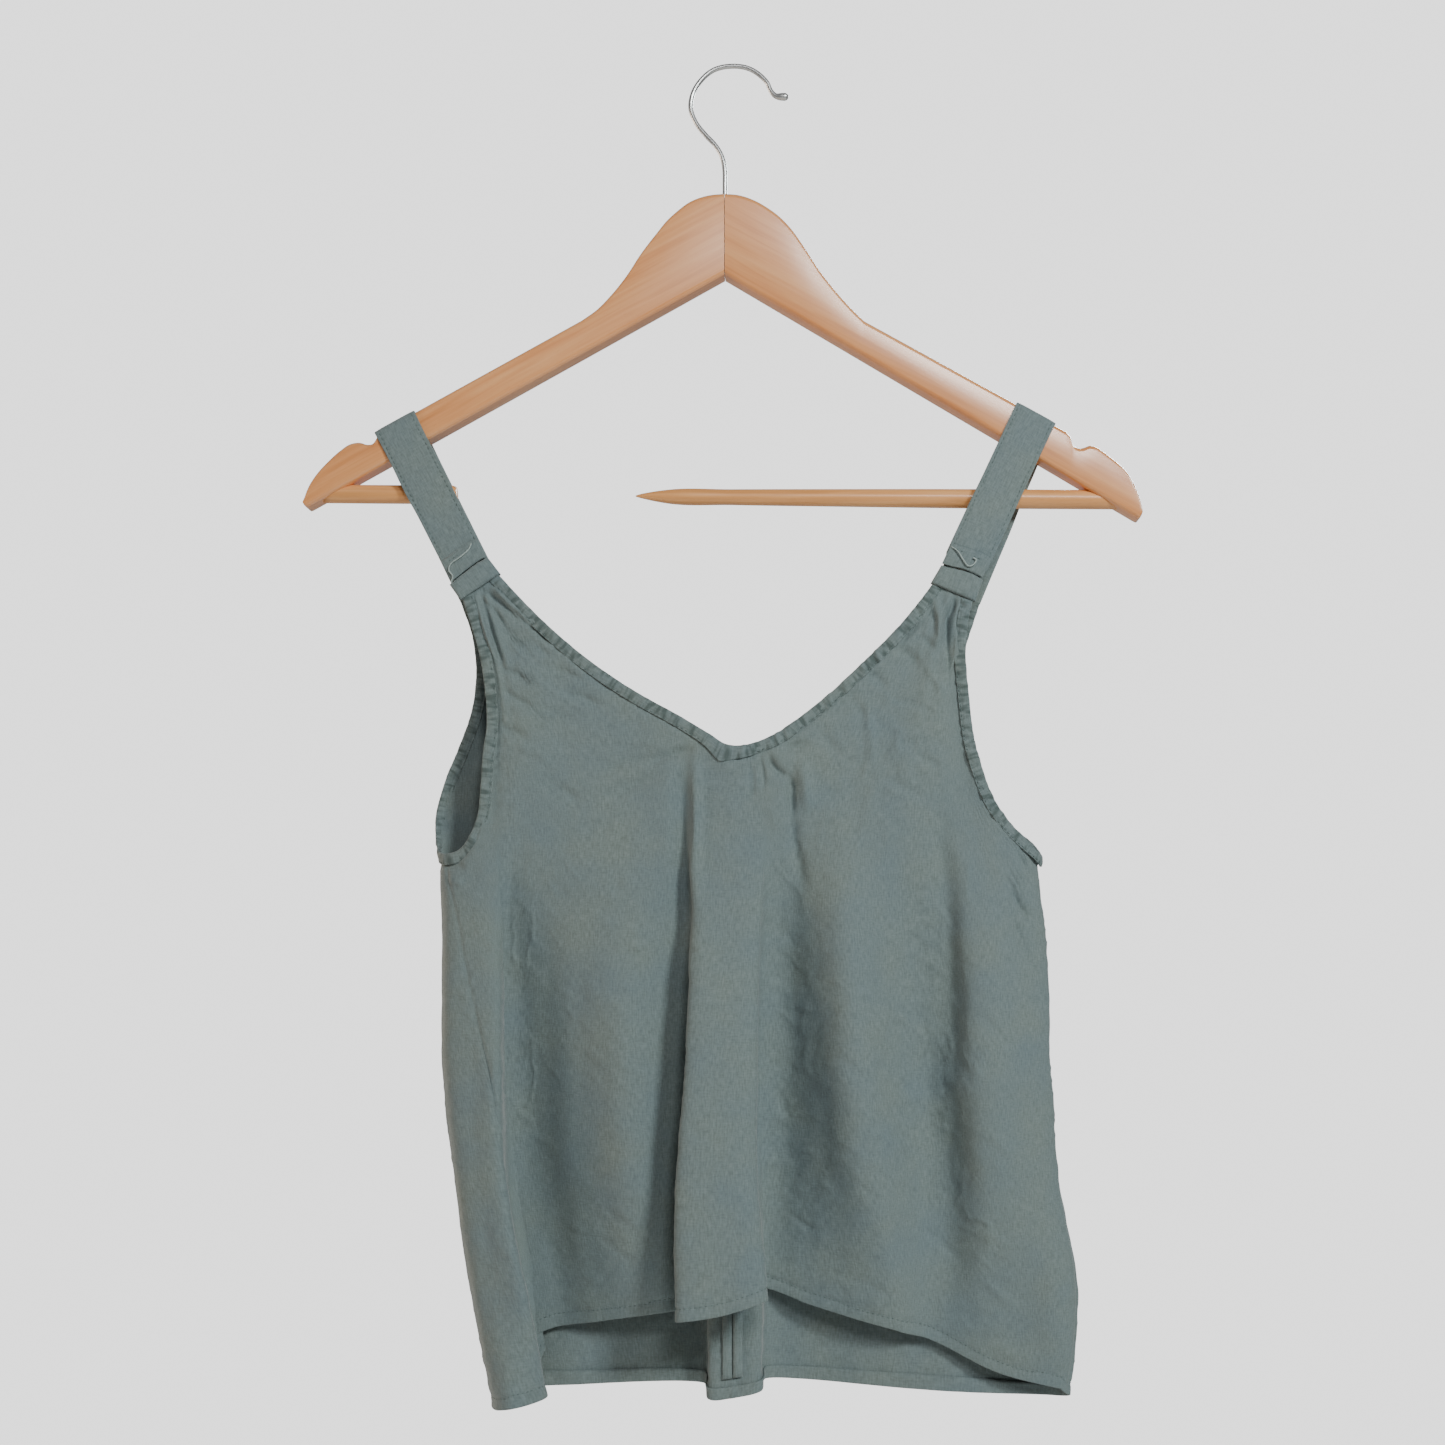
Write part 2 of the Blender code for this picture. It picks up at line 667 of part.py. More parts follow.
def split_flat(points, quads):
    """Two triangles for each quad, cut along the diagonal that leaves them nearest to one plane."""
    a, b, c, d = (points[quads[:, corner]] for corner in range(4))

    def bend(first, second):
        return (unit(first) * unit(second)).sum(axis=-1)

    short = bend(np.cross(b - a, c - a), np.cross(c - a, d - a))
    other = bend(np.cross(c - b, d - b), np.cross(d - b, a - b))
    keep = (short >= other)[:, None]
    first = np.where(keep, quads[:, [0, 1, 2]], quads[:, [1, 2, 3]])
    second = np.where(keep, quads[:, [0, 2, 3]], quads[:, [1, 3, 0]])
    return np.concatenate([first, second])


def quads_of(index):
    """Faces of four corners between the neighbours in a grid of point numbers."""
    corners = (index[:-1, :-1], index[:-1, 1:], index[1:, 1:], index[1:, :-1])
    return np.stack([corner.reshape(-1) for corner in corners], axis=-1)


def mesh_object(name, points, faces, material):
    """A mesh from points in millimetres and faces of any number of corners, facing out."""
    mesh = bpy.data.meshes.new(name)
    mesh.from_pydata((np.asarray(points) * MM).tolist(), [], [list(map(int, face)) for face in faces])
    mesh.validate()
    shape = bmesh.new()
    shape.from_mesh(mesh)
    bmesh.ops.recalc_face_normals(shape, faces=shape.faces)
    shape.to_mesh(mesh)
    shape.free()
    if material:
        mesh.materials.append(material)
    found = bpy.data.objects.new(name, mesh)
    bpy.context.scene.collection.objects.link(found)
    return found


def material(name, colour, roughness, metallic=0.0):
    found = bpy.data.materials.new(name)
    found.use_nodes = True
    shader = found.node_tree.nodes["Principled BSDF"]
    shader.inputs["Base Color"].default_value = (*colour, 1)
    shader.inputs["Roughness"].default_value = roughness
    shader.inputs["Metallic"].default_value = metallic
    return found


def rings(name, loops, material):
    """A solid from closed loops of points, each joined to the next, with a face over each end."""
    loops = np.asarray(loops, float)
    count, sides = loops.shape[:2]
    index = np.arange(count * sides).reshape(count, sides)
    after = np.roll(index, -1, axis=1)
    quads = np.stack([index[:-1], after[:-1], after[1:], index[1:]], axis=-1).reshape(-1, 4)
    faces = [*quads, index[0][::-1], index[-1]]
    return mesh_object(name, loops.reshape(-1, 3), faces, material)


def sleeve(name, outer, inner, material):
    """A solid between an outer and an inner row of loops, open at both ends."""
    outer, inner = np.asarray(outer, float), np.asarray(inner, float)
    loops = np.concatenate([outer, inner[::-1]])
    count, sides = loops.shape[:2]
    index = np.arange(count * sides).reshape(count, sides)
    after = np.roll(index, -1, axis=1)
    below, below_after = np.roll(index, -1, axis=0), np.roll(after, -1, axis=0)
    quads = np.stack([index, after, below_after, below], axis=-1).reshape(-1, 4)
    return mesh_object(name, loops.reshape(-1, 3), quads, material)


def tube_loops(path, radii, sides, side_axis):
    """Round loops square to a path. side_axis is a direction that the path never takes."""
    path = np.asarray(path, float)
    run = unit(np.gradient(path, axis=0))
    first = unit(np.cross(run, np.broadcast_to(side_axis, run.shape)))
    second = np.cross(run, first)
    angle = np.linspace(0, 2 * math.pi, sides, endpoint=False)[None, :, None]
    radii = np.asarray(radii, float)[:, None, None]
    return path[:, None] + radii * (np.cos(angle) * first[:, None] + np.sin(angle) * second[:, None])


def cut(target, tool):
    """Takes the tool's shape out of the target, and leaves the tool out of the render."""
    tool.hide_render = True
    tool.display_type = "WIRE"
    modifier = target.modifiers.new("cut " + tool.name, "BOOLEAN")
    modifier.operation = "DIFFERENCE"
    modifier.solver = "EXACT"
    modifier.object = tool


def thick_hem(grid):
    """Depths of a panel's wall: the turned hem doubles it on the inside, and is pressed thinner
    at the seams."""
    inside = np.full(grid.shape[:2], WALL / 2)
    inside[:, -2:] = HEM_WALL - WALL / 2
    inside[[0, -1], -2:] = SEAM_INSIDE
    return inside


def build_panels(cloth):
    """The front in one piece, and the back in two that meet at the centre back seam."""
    labels = panel_labels(SEAM_LEFT, SEAM_RIGHT)
    edges = ((ARMHOLE_LEFT, 0), (NECK_FRONT, 0), (ARMHOLE_RIGHT, 0))
    grid = panel_grid(labels, edges, FRONT_HEM, front_place, PANEL_ROWS)
    grid = gathered(grid, labels, (ARMHOLE_LEFT[-1][0], NECK_FRONT[0][0]))
    grid = gathered(grid, labels, (NECK_FRONT[-1][0], ARMHOLE_RIGHT[0][0]))
    normal = panel_normals(grid, labels, edges, front_place)
    grid = trimmed(grid)
    wall("front_panel", grid, normal, WALL / 2, thick_hem(grid), cloth)
    halves = (
        ("right", SEAM_RIGHT, CENTRE_BACK, ((ARMHOLE_RIGHT, 0), (NECK_BACK, 0)), -1),
        ("left", CENTRE_BACK, SEAM_LEFT_FROM_BACK, ((NECK_BACK, 0), (ARMHOLE_LEFT, 1)), 0),
    )
    for side, start, end, edges, seam in halves:
        labels = panel_labels(start, end)
        grid = panel_grid(labels, edges, BACK_HEM, back_place, PANEL_ROWS)
        normal = panel_normals(grid, labels, edges, back_place)
        grid = trimmed(grid)
        wall("back_panel_" + side, grid, normal, WALL / 2, thick_hem(grid), cloth)
        build_allowance(side, grid, normal, seam, cloth)


def build_allowance(side, grid, normal, seam, cloth):
    """The seam allowance beside the centre back seam: the panel's own points moved to the inside.
    It ends above the turned hem."""
    neighbour = 1 if seam == 0 else -2
    first, second = grid[seam, :-2], grid[neighbour, :-2]
    across = np.linalg.norm(second - first, axis=-1, keepdims=True)
    share = np.array([SEAM_GAP, ALLOWANCE_WIDTH])[:, None, None] / across
    strip = first + share * (second - first)
    strip_normal = unit(normal[seam, :-2] + share * (normal[neighbour, :-2] - normal[seam, :-2]))
    depth = WALL / 2 + SEAM_GAP + ALLOWANCE_WALL / 2
    strip = strip - depth * strip_normal
    if seam:
        strip, strip_normal = strip[::-1], strip_normal[::-1]
    half = ALLOWANCE_WALL / 2
    wall("seam_allowance_" + side, strip, strip_normal, half, half, cloth)


def build_bindings(cloth):
    """Folded strips along the finished edges, with a point at each column of the panels."""
    edges = {
        "armhole_binding_left": ARMHOLE_LEFT,
        "neck_binding_front": NECK_FRONT,
        "armhole_binding_right": ARMHOLE_RIGHT,
        "neck_binding_back": NECK_BACK,
    }
    half = BINDING_WALL / 2
    for name, table in edges.items():
        start, end = table[0][0], table[-1][0]
        labels = panel_labels(math.floor(start), math.ceil(end))
        labels = labels[(labels >= start - LABEL_SLACK) & (labels <= end + LABEL_SLACK)]
        outer, faces = edge(table, labels)
        inner, _ = edge(table, labels, BINDING_WIDTH)
        grid = np.stack([outer, inner], axis=1)
        wall(name, grid, np.stack([faces, faces], axis=1), half, half, cloth)


def build_straps(cloth):
    """Doubled strips that run from the front over the arms to the back."""
    for name, strap in STRAPS.items():
        (high, high_z), (low, low_z) = ARMS[name]["shoulder"][-1], ARMS[name]["end"][0]
        slope = (low_z - high_z) / (low - high)
        right = unit(np.array([1.0, 0.0, slope]))
        up = np.array([-right[2], 0.0, right[0]])
        contact = np.array([strap["over"], 0.0, high_z + slope * (strap["over"] - high)])
        rise = SEAM_GAP + STRAP_WALL / 2
        bend = ARM_THICKNESS / 2 + rise - BEND_RADIUS
        angle = np.linspace(0, math.pi / 2, BEND_STEPS + 1)
        height = rise - BEND_RADIUS + BEND_RADIUS * np.sin(angle)
        depth = bend + BEND_RADIUS * np.cos(angle)
        height = np.concatenate([height, height[::-1]])[:, None]
        depth = np.concatenate([-depth, depth[::-1]])[:, None]
        over = contact + up * height + np.array([0.0, 1.0, 0.0]) * depth
        share = np.array(STRAP_SHARES)[:, None]
        front = np.array(strap["front"]) * (1 - share) + over[0] * share
        back = np.array(strap["back"]) * (1 - share) + over[-1] * share
        middle = np.concatenate([front, over, back[::-1]])
        front_across = np.array(strap["front_across"]) * (1 - share) + right * share
        back_across = np.array(strap["back_across"]) * (1 - share) + right * share
        across = np.concatenate([front_across, np.broadcast_to(right, over.shape), back_across[::-1]])
        width = np.full(len(middle), STRAP_WIDTH)
        width[: len(front)] = np.interp(STRAP_SHARES, STRAP_SHARES[1:3], (STRAP_END_WIDTH, STRAP_WIDTH))
        half = np.array([-0.5, 0.5])[:, None, None] * width[:, None]
        grid = middle + half * unit(across)
        normal = unit(np.cross(unit(across), np.gradient(middle, axis=0)))
        normal = np.broadcast_to(normal, grid.shape)
        wall("strap_" + name, grid, normal, STRAP_WALL / 2, STRAP_WALL / 2, cloth)
        build_band(name, strap, cloth)
        build_tab(name, strap, middle, normal[0, 0], cloth)


def build_band(name, strap, cloth):
    """A flat sleeve round the strap's front end and the gathered top of the front."""
    top = np.array(strap["band_top"], float)
    low = np.array(strap["band_low"], float)
    middle_y = strap["front"][1]
    half = BINDING_WALL / 2 + BAND_CLEARANCE
    first, last = BAND_FLAT
    outer, inner = [], []
    for share in np.linspace(0, 1, BAND_ROWS + 1):
        left, right = top * (1 - share) + low * share
        across = right - left
        width = np.linalg.norm(across)
        bulge = BAND_BULGE * math.sin(math.pi * share)
        shoulder = half + BAND_WALL + bulge * BAND_SHOULDER
        corners = (
            (0, -half),
            (BAND_WALL / width, -shoulder),
            (first, -half - BAND_WALL - bulge),
            (last, -half - BAND_WALL - bulge),
            (1 - BAND_WALL / width, -shoulder),
            (1, -half),
            (1, half),
            (1 - BAND_WALL / width, half + BAND_WALL),
            (last, half + BAND_WALL),
            (first, half + BAND_WALL),
            (BAND_WALL / width, half + BAND_WALL),
            (0, half),
        )
        side = BAND_SIDE_WALL / width
        hole = (
            (side, -half * HOLE_DEEP),
            (side * HOLE_ALONG, -half),
            (first, -half),
            (last, -half),
            (1 - side * HOLE_ALONG, -half),
            (1 - side, -half * HOLE_DEEP),
            (1 - side, half * HOLE_DEEP),
            (1 - side * HOLE_ALONG, half),
            (last, half),
            (first, half),
            (side * HOLE_ALONG, half),
            (side, half * HOLE_DEEP),
        )
        for found, loop in ((outer, corners), (inner, hole)):
            place = np.array(loop)
            xz = left + place[:, :1] * across
            found.append(np.stack([xz[:, 0], middle_y + place[:, 1], xz[:, 1]], axis=-1))
    sleeve("band_" + name, outer, inner, cloth)


def build_tab(name, strap, middle, normal, cloth):
    """The strap's own end, folded back on its front above the band."""
    left, right = np.array(strap["band_top"], float)
    across = np.array([right[0] - left[0], 0.0, right[1] - left[1]])
    run = unit(middle[1] - middle[0])
    up = np.array([-across[2], 0.0, across[0]])
    centre = np.array([left[0] + right[0], 2 * middle[0, 1], left[1] + right[1]]) / 2
    rise = ((centre - middle[0]) @ up + SEAM_GAP * np.linalg.norm(up)) / (run @ up)
    share = np.array([rise, rise + TAB_HEIGHT])[None, :, None]
    half = np.array([-0.5, 0.5])[:, None, None] * TAB_WIDTH
    depth = STRAP_WALL / 2 + SEAM_GAP + TAB_WALL / 2
    grid = middle[0] + share * run + half * unit(across) + depth * normal
    normal = np.broadcast_to(normal, grid.shape)
    wall("strap_tab_" + name, grid, normal, TAB_WALL / 2, TAB_WALL / 2, cloth)


def smooth(table, steps):
    """More points on a smooth curve through a table's rows."""
    rows = np.array(table, float)
    length = np.concatenate([[0.0], np.cumsum(np.linalg.norm(np.diff(rows[:, :2], axis=0), axis=1))])
    at = np.concatenate(
        [np.linspace(a, b, steps, endpoint=False) for a, b in zip(length[:-1], length[1:])]
        + [length[-1:]]
    )
    return glide(length, rows, at)


def drawn_in(outline, distance):
    """An outline moved inwards. Its ends at the joint move up and down only."""
    before, after = np.roll(outline, 1, axis=0), np.roll(outline, -1, axis=0)
    first, second = unit(outline - before), unit(after - outline)
    first_in = np.stack([first[:, 1], -first[:, 0]], axis=-1)
    second_in = np.stack([second[:, 1], -second[:, 0]], axis=-1)
    inward = first_in + second_in
    inward = inward / np.maximum((inward * first_in).sum(axis=-1, keepdims=True), SHARPEST_CORNER)
    inward[0] = (0, -1)
    inward[-1] = (0, 1)
    return outline + distance * inward


def build_hanger(wood, bar_wood, steel):
    """Two arms that meet in the middle, the bar in two pieces, the hook and its nut."""
    for name, arm in ARMS.items():
        side = np.array([-1 if name == "left" else 1, 1])
        outline = [smooth(arm["shoulder"], ARM_STEPS), smooth(arm["end"], ARM_STEPS)]
        outline = np.concatenate([*outline, [arm["low_middle"]]]) * side
        loops = []
        for y, inset in ARM_RINGS:
            found = drawn_in(outline, inset) * side
            loops.append(np.stack([found[:, 0], np.full(len(found), y), found[:, 1]], axis=-1))
        solid = rings("hanger_arm_" + name, loops, wood)
        bar_z = BARS[name][0][1]
        bore = ((side[0] * BAR_BORE_START, 0, bar_z), (arm["bore_end"], 0, bar_z))
        loops = tube_loops(bore, (BAR_BORE_RADIUS,) * 2, BORE_SIDES, (0, 0, 1))
        cut(solid, rings("bar_bore_" + name, loops, None))
        for tool, radius, top in (
            ("stem_bore_", STEM_BORE_RADIUS, STEM_BORE_TOP),
            ("nut_recess_", NUT_RECESS_RADIUS, NUT_RECESS_TOP),
        ):
            loops = upright(top, BORE_BOTTOM, radius)
            cut(solid, rings(tool + name, loops, None))
    for name, table in BARS.items():
        rows = np.array(table, float)
        path = np.stack([rows[:, 0], 0 * rows[:, 0], rows[:, 1]], axis=-1)
        rings("trouser_bar_" + name, tube_loops(path, rows[:, 2], BAR_SIDES, (0, 0, 1)), bar_wood)
    path = smooth(HOOK, HOOK_STEPS)
    points = np.stack([path[:, 0], 0 * path[:, 0], path[:, 1]], axis=-1)
    rings("hook", tube_loops(points, path[:, 2], WIRE_SIDES, (0, 1, 0)), steel)
    outer = upright(NUT_TOP, NUT_BOTTOM, NUT_RADIUS)
    sleeve("hook_nut", outer, upright(NUT_TOP, NUT_BOTTOM, NUT_HOLE_RADIUS), steel)


def upright(top, bottom, radius):
    """Loops of an upright cylinder on the hook's stem."""
    path = ((JOINT_X, 0, top), (JOINT_X, 0, bottom))
    return tube_loops(path, (radius,) * 2, BORE_SIDES, (0, 1, 0))


def main():
    for found in list(bpy.data.objects):
        bpy.data.objects.remove(found)
    cloth = material("sage_linen", (0.13, 0.19, 0.175), 0.9)
    wood = material("lacquered_wood", (0.62, 0.42, 0.24), 0.35)
    bar_wood = material("turned_wood", (0.66, 0.48, 0.3), 0.45)
    steel = material("chromed_steel", (0.7, 0.7, 0.7), 0.2, 1.0)
    build_panels(cloth)
    build_bindings(cloth)
    build_straps(cloth)
    build_hanger(wood, bar_wood, steel)


main()
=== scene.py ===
"""Looks for a sleeveless linen blouse that hangs from a wooden hanger.

Tables are in millimetres, x across, y in depth with the front at -Y, and z up, on the same origin
as the CAD. The cloth is worked out from the same fold lines and edges as its solids, on finer
grids, with creases added along the way that it faces.
"""

import json
import math

import bmesh
import bpy
import numpy as np
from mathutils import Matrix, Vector

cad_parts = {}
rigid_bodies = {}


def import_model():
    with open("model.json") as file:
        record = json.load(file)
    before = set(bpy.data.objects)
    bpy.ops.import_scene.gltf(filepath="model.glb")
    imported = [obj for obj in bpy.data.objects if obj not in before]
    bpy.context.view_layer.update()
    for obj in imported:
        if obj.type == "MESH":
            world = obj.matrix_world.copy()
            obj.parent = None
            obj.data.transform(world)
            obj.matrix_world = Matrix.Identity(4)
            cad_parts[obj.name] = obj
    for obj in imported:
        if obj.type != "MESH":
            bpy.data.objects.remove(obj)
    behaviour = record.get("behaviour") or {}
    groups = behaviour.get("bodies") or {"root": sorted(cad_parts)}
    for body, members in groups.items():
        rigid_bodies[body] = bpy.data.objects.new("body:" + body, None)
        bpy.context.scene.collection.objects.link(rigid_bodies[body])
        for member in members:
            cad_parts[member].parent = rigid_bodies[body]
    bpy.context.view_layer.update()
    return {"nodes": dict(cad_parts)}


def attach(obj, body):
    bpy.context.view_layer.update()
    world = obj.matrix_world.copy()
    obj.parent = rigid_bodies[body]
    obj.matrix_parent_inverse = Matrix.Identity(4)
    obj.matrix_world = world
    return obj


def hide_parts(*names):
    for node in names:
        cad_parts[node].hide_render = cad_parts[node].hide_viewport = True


for found in list(bpy.data.objects):
    bpy.data.objects.remove(found)
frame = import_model()

MM = 0.001
UV_NAME = "along_and_across"
LABEL_SLACK = 1e-6
TINY = 1e-9

# How panels are worked out between their edges, fold lines and seams
EDGE_PROBE = 0.5
EDGE_SAMPLES = 200
COLUMN_SPACING = 4.0
COLUMN_SOFTNESS = 0.1
ARMHOLE_FADE = 25.0
YOKE_BLEND = 40.0
YOKE_END = -380.0
SEAM_PROBE = 0.02
FRONT_GATHER = 1.6
GATHERS = 2.5
GATHER_START = 5.0
GATHER_RISE = 6.0
GATHER_REACH = 28.0
FRONT_FINER = 5
FRONT_ROWS = 250
BACK_FINER = 6
BACK_ROWS = 230
PANEL_FADE = 0.4
UV_ROW = 0.55
CLOTH_HALF = 0.35
SEAM_GAP = 0.3
SEAM_DENT = 0.55
SEAM_DENT_WIDTH = 1.5

# Hem: its row of stitches lies this far above the fold
HEM_STITCH = 5.8
HEM_DEPTH = 1.0
HEM_TURN_ROWS = 5
HEM_BEND = (0.25, 0.5, 0.75)
HEM_END_DEPTH = 0.4
HEM_ROW_PITCH = 1.3
HEM_PULL = 0.42
HEM_PULL_REACH = 5.0
STITCH_DENT = 0.55
STITCH_DENT_WIDTH = 1.1

# Bindings, and the groove that the cloth makes along them
BINDING_WIDTH = 6.0
BINDING_HALF = 1.0
BINDING_PITCH = 0.8
TUCK = 3.0
DITCH_PLACE = 0.6
DITCH_DEPTH = 0.75
DITCH_WIDTH = 1.1
PUCKER_SLANT = 1.1
POINT_SOFTNESS = 4.5
BINDING_SEAT = 2.0
STITCH_LIFT = 0.55

# Grooves that rows of stitches draw in. Columns: depth, width
BINDING_GROOVE = (0.4, 0.45)
STRAP_GROOVE = (0.28, 0.5)

# Where the extra puckers right of the V begin, and where they are strongest: x, over how far
PUCKER_START = (-3, 6)
PUCKER_MIDDLE = (28, 60)

# How a pucker of depth 1 changes a binding's width, and its thickness. Columns of the thickness:
# without a pucker, change at the middle, further change for each half width across, least, most
PUCKER_WIDTH = 0.05
PUCKER_THICK = (1.05, 0.9, 0.3, 0.35, 2.1)

# Where the front neck binding comes to a point below the V: x, and how far it reaches down
NECK_POINT = (-2.5, 4.0)

# Straps and their ends
STRAP_WIDTH = 24.0
STRAP_END_WIDTH = 21.2
STRAP_WALL = 1.2
STRAP_SHARES = (0, 0.07, 0.11, 0.25, 0.4, 0.55, 0.7, 0.85)
STRAP_PITCH = 1.3
STRAP_HALF = 0.62
STRAP_SEAT = 2.3
STRAP_TUCK = 1.6
STRAP_MARGIN = 0.25
STRAP_DENTING = 0.8
BEND_RADIUS = 3.0
BEND_STEPS = 4
BAND_OUTSIDE = 3.1
BAND_INSIDE = 1.35
BAND_EDGE = 1.7
BAND_HOLE = 0.965
BAND_ROLL = 0.32
END_STEPS = 26
TAB_HEIGHT = 12.0
TAB_WIDTH = 22.4
TAB_HALF = 0.6
TAB_DEPTH = 1.4
TAB_SEAT = 2.6
TAB_LIFT = 0.62
TAB_MARGIN = 4
SEAT_POINTS = 24
CREASE_GAP = 0.7
THREAD_RADIUS = 0.36
THREAD_TIP = 0.1
THREAD_STEPS = 60
THREAD_SIDES = 8

# Soft waves across a strap's end. Columns: height, radians to each half width, start
BAND_SWAY = (1.1, 2.4, 0.6)
TAB_SWAY = (0.8, 3, 0.5)

# Hanger
ARM_THICKNESS = 14.0
ARM_SIDES = 48
ARM_STEPS = 300
ARM_END = 2.0
ARM_END_STEPS = 9
ARM_END_START = 0.9
ARM_LEAST_HEIGHT = 0.2
OUTLINE_STEPS = 6
SHARP_EDGES = 50
RIM_RADIUS = 2.6
RIM_SHARE = 0.45
GRAIN_FALL = (-59, 107)
GRAIN_SHIFT = 400
BAR_STEPS = 10
BAR_SIDES = 32
HOOK_STEPS = 8
HOOK_SIDES = 24

# Heights of the six sections through the body
LEVELS = (-426.0, -475.0, -530.0, -590.0, -645.0, -705.0)

# Fold lines round the body, from the back of the left side over the front to the right and round
# the back. Columns: name, grid columns to the next line, x at each level, y at each level.
FOLDS = (
    ("left back", 3, (-150, -148, -146, -139, -130, -117), (12, 13, 13, 12, 12, 12)),
    ("left turn", 3, (-155, -154, -153, -146, -138, -126), (4, 4, 4, 4, 3, 2)),
    ("strip outer", 4, (-150, -149, -147, -141, -132, -121), (-5, -11, -15, -19, -22, -23)),
    ("strip middle", 5, (-138, -136, -134, -130, -119, -111), (-11, -16, -20, -25, -28, -30)),
    ("strip edge", 6, (-124, -122, -121, -118, -106, -96), (-12, -17, -22, -27, -30, -12)),
    ("left valley", 6, (-114, -117, -119, -118, -110, -102), (-10, -6, -1, 2, 2, 1)),
    ("inner panel", 3, (-100, -102, -103, -101, -94, -88), (-10, -5, 0, 3, 3, 1)),
    ("left slope", 3, (-80, -81, -81, -80, -73, -66), (-12, -12, -11, -10, -8, -6)),
    ("left ridge", 3, (-50, -52, -52, -48, -48, -46), (-14, -17, -19, -20, -16, -14)),
    ("tongue left root", 3, (-24, -22, -19, -18, -17, -17), (-13, -10, -9, -9, -10, -10)),
    ("tongue left edge", 2, (-19, -19, -22, -26, -26, -25), (-17, -30, -38, -44, -49, -54)),
    ("tongue middle", 2, (-2, -3, -4, -5, -3, -2), (-19, -31, -39, -46, -51, -55)),
    ("tongue right edge", 3, (16, 15, 14, 14, 19, 20), (-18, -26, -33, -40, -47, -52)),
    ("tongue right root", 2, (24, 22, 20, 20, 21, 22), (-14, -11, -6, -3, -3, -4)),
    ("right valley", 4, (31, 31, 32, 34, 37, 41), (-12, -9, -7, -6, -6, -6)),
    ("right ridge", 8, (58, 60, 66, 74, 84, 90), (-17, -23, -26, -25, -16, -8)),
    ("outer valley", 6, (100, 101, 103, 105, 106, 108), (-12, -7, -4, -5, -6, -6)),
    ("outer ridge", 3, (128, 128, 130, 133, 137, 142), (-12, -19, -22, -20, -13, -9)),
    ("right front edge", 3, (158, 163, 165, 168, 176, 173), (-6, -7, -8, -9, -10, -9)),
    ("right turn", 4, (162, 167, 169, 173, 183, 179), (0, -1, -2, -2, -3, -4)),
    ("right back", 8, (157, 161, 163, 167, 176, 172), (10, 9, 7, 5, 3, 2)),
    ("back right", 5, (110, 112, 112, 112, 112, 112), (15, 12, 8, 3, 0, -1)),
    ("back fold right root", 3, (40, 34, 28, 24, 20, 19), (15, 13, 11, 8, 6, 5)),
    ("back fold right edge", 2, (14, 14, 14, 14, 15, 15), (14, 7, -1, -8, -12, -14)),
    ("back fold middle", 2, (1, 1, 1, 1, 1, 1), (14, 6, -2, -9, -13, -15)),
    ("back fold left edge", 3, (-12, -12, -12, -12, -12, -11), (14, 7, -1, -8, -12, -14)),
    ("back fold left root", 5, (-38, -32, -26, -20, -16, -15), (15, 13, 11, 8, 6, 5)),
    ("back left", 10, (-90, -90, -90, -90, -88, -82), (16, 14, 11, 8, 6, 5)),
)
LINES = len(FOLDS)

# Labels where the pieces meet at the armhole level. The left side seam has one label on the
# front and the same place, one turn on, on the back.
SEAM_LEFT = 2.0
SEAM_RIGHT = 19.0
CENTRE_BACK = 24.0
SEAM_LEFT_FROM_BACK = SEAM_LEFT + LINES
FRONT_FIXED_LEFT = 6.0
FRONT_FIXED_RIGHT = 18.0
BACK_FIXED_RIGHT = 20.0
BACK_FIXED_LEFT = 27.0

# How the side seams wander round the body on the way down. Columns: z, label
LEFT_SEAM_PATH = (
    (-426, 2.0),
    (-455, 2.55),
    (-476, 2.8),
    (-504, 3.2),
    (-537, 3.7),
    (-590, 4.3),
    (-645, 4.7),
    (-705, 5.0),
)
RIGHT_SEAM_PATH = ((-426, 19.0), (-560, 19.1), (-612, 18.7), (-660, 18.5), (-705, 18.5))

# Finished edges above the armhole level. Columns: label, x, z, y, and the way that the cloth
# faces there in degrees, 0 to the front, -90 to the left, 90 to the right and 180 to the back.
# The left armhole runs from the back strap, through the side seam, to the front strap.
ARMHOLE_LEFT = (
    (-0.4, -146.5, -280, 12, -180),
    (-0.3, -140, -300, 13, -180),
    (-0.2, -138, -322, 13, -180),
    (-0.13, -141, -341, 13.5, -180),
    (-0.07, -147, -358, 13.5, -178),
    (0.0, -155, -378, 13, -170),
    (0.5, -159.5, -397, 11.5, -155),
    (1.0, -158, -411, 7, -115),
    (1.5, -155.5, -415.5, 2, -80),
    (2.0, -152, -417, -3, -40),
    (2.5, -145, -416, -6, -20),
    (2.8, -141, -413, -8, -10),
    (3.1, -136.5, -406, -10, 0),
    (3.4, -133, -397, -11.5, 0),
    (3.6, -131.5, -384, -12, 0),
    (3.8, -130, -365, -12.5, 0),
    (4.0, -128, -349, -12.5, 0),
    (4.2, -129, -332, -12.5, 0),
    (4.4, -131.5, -315, -12, 0),
    (4.55, -136, -299, -11.5, 0),
    (14 / 3, -142.3, -279.6, -10.5, 0),
)
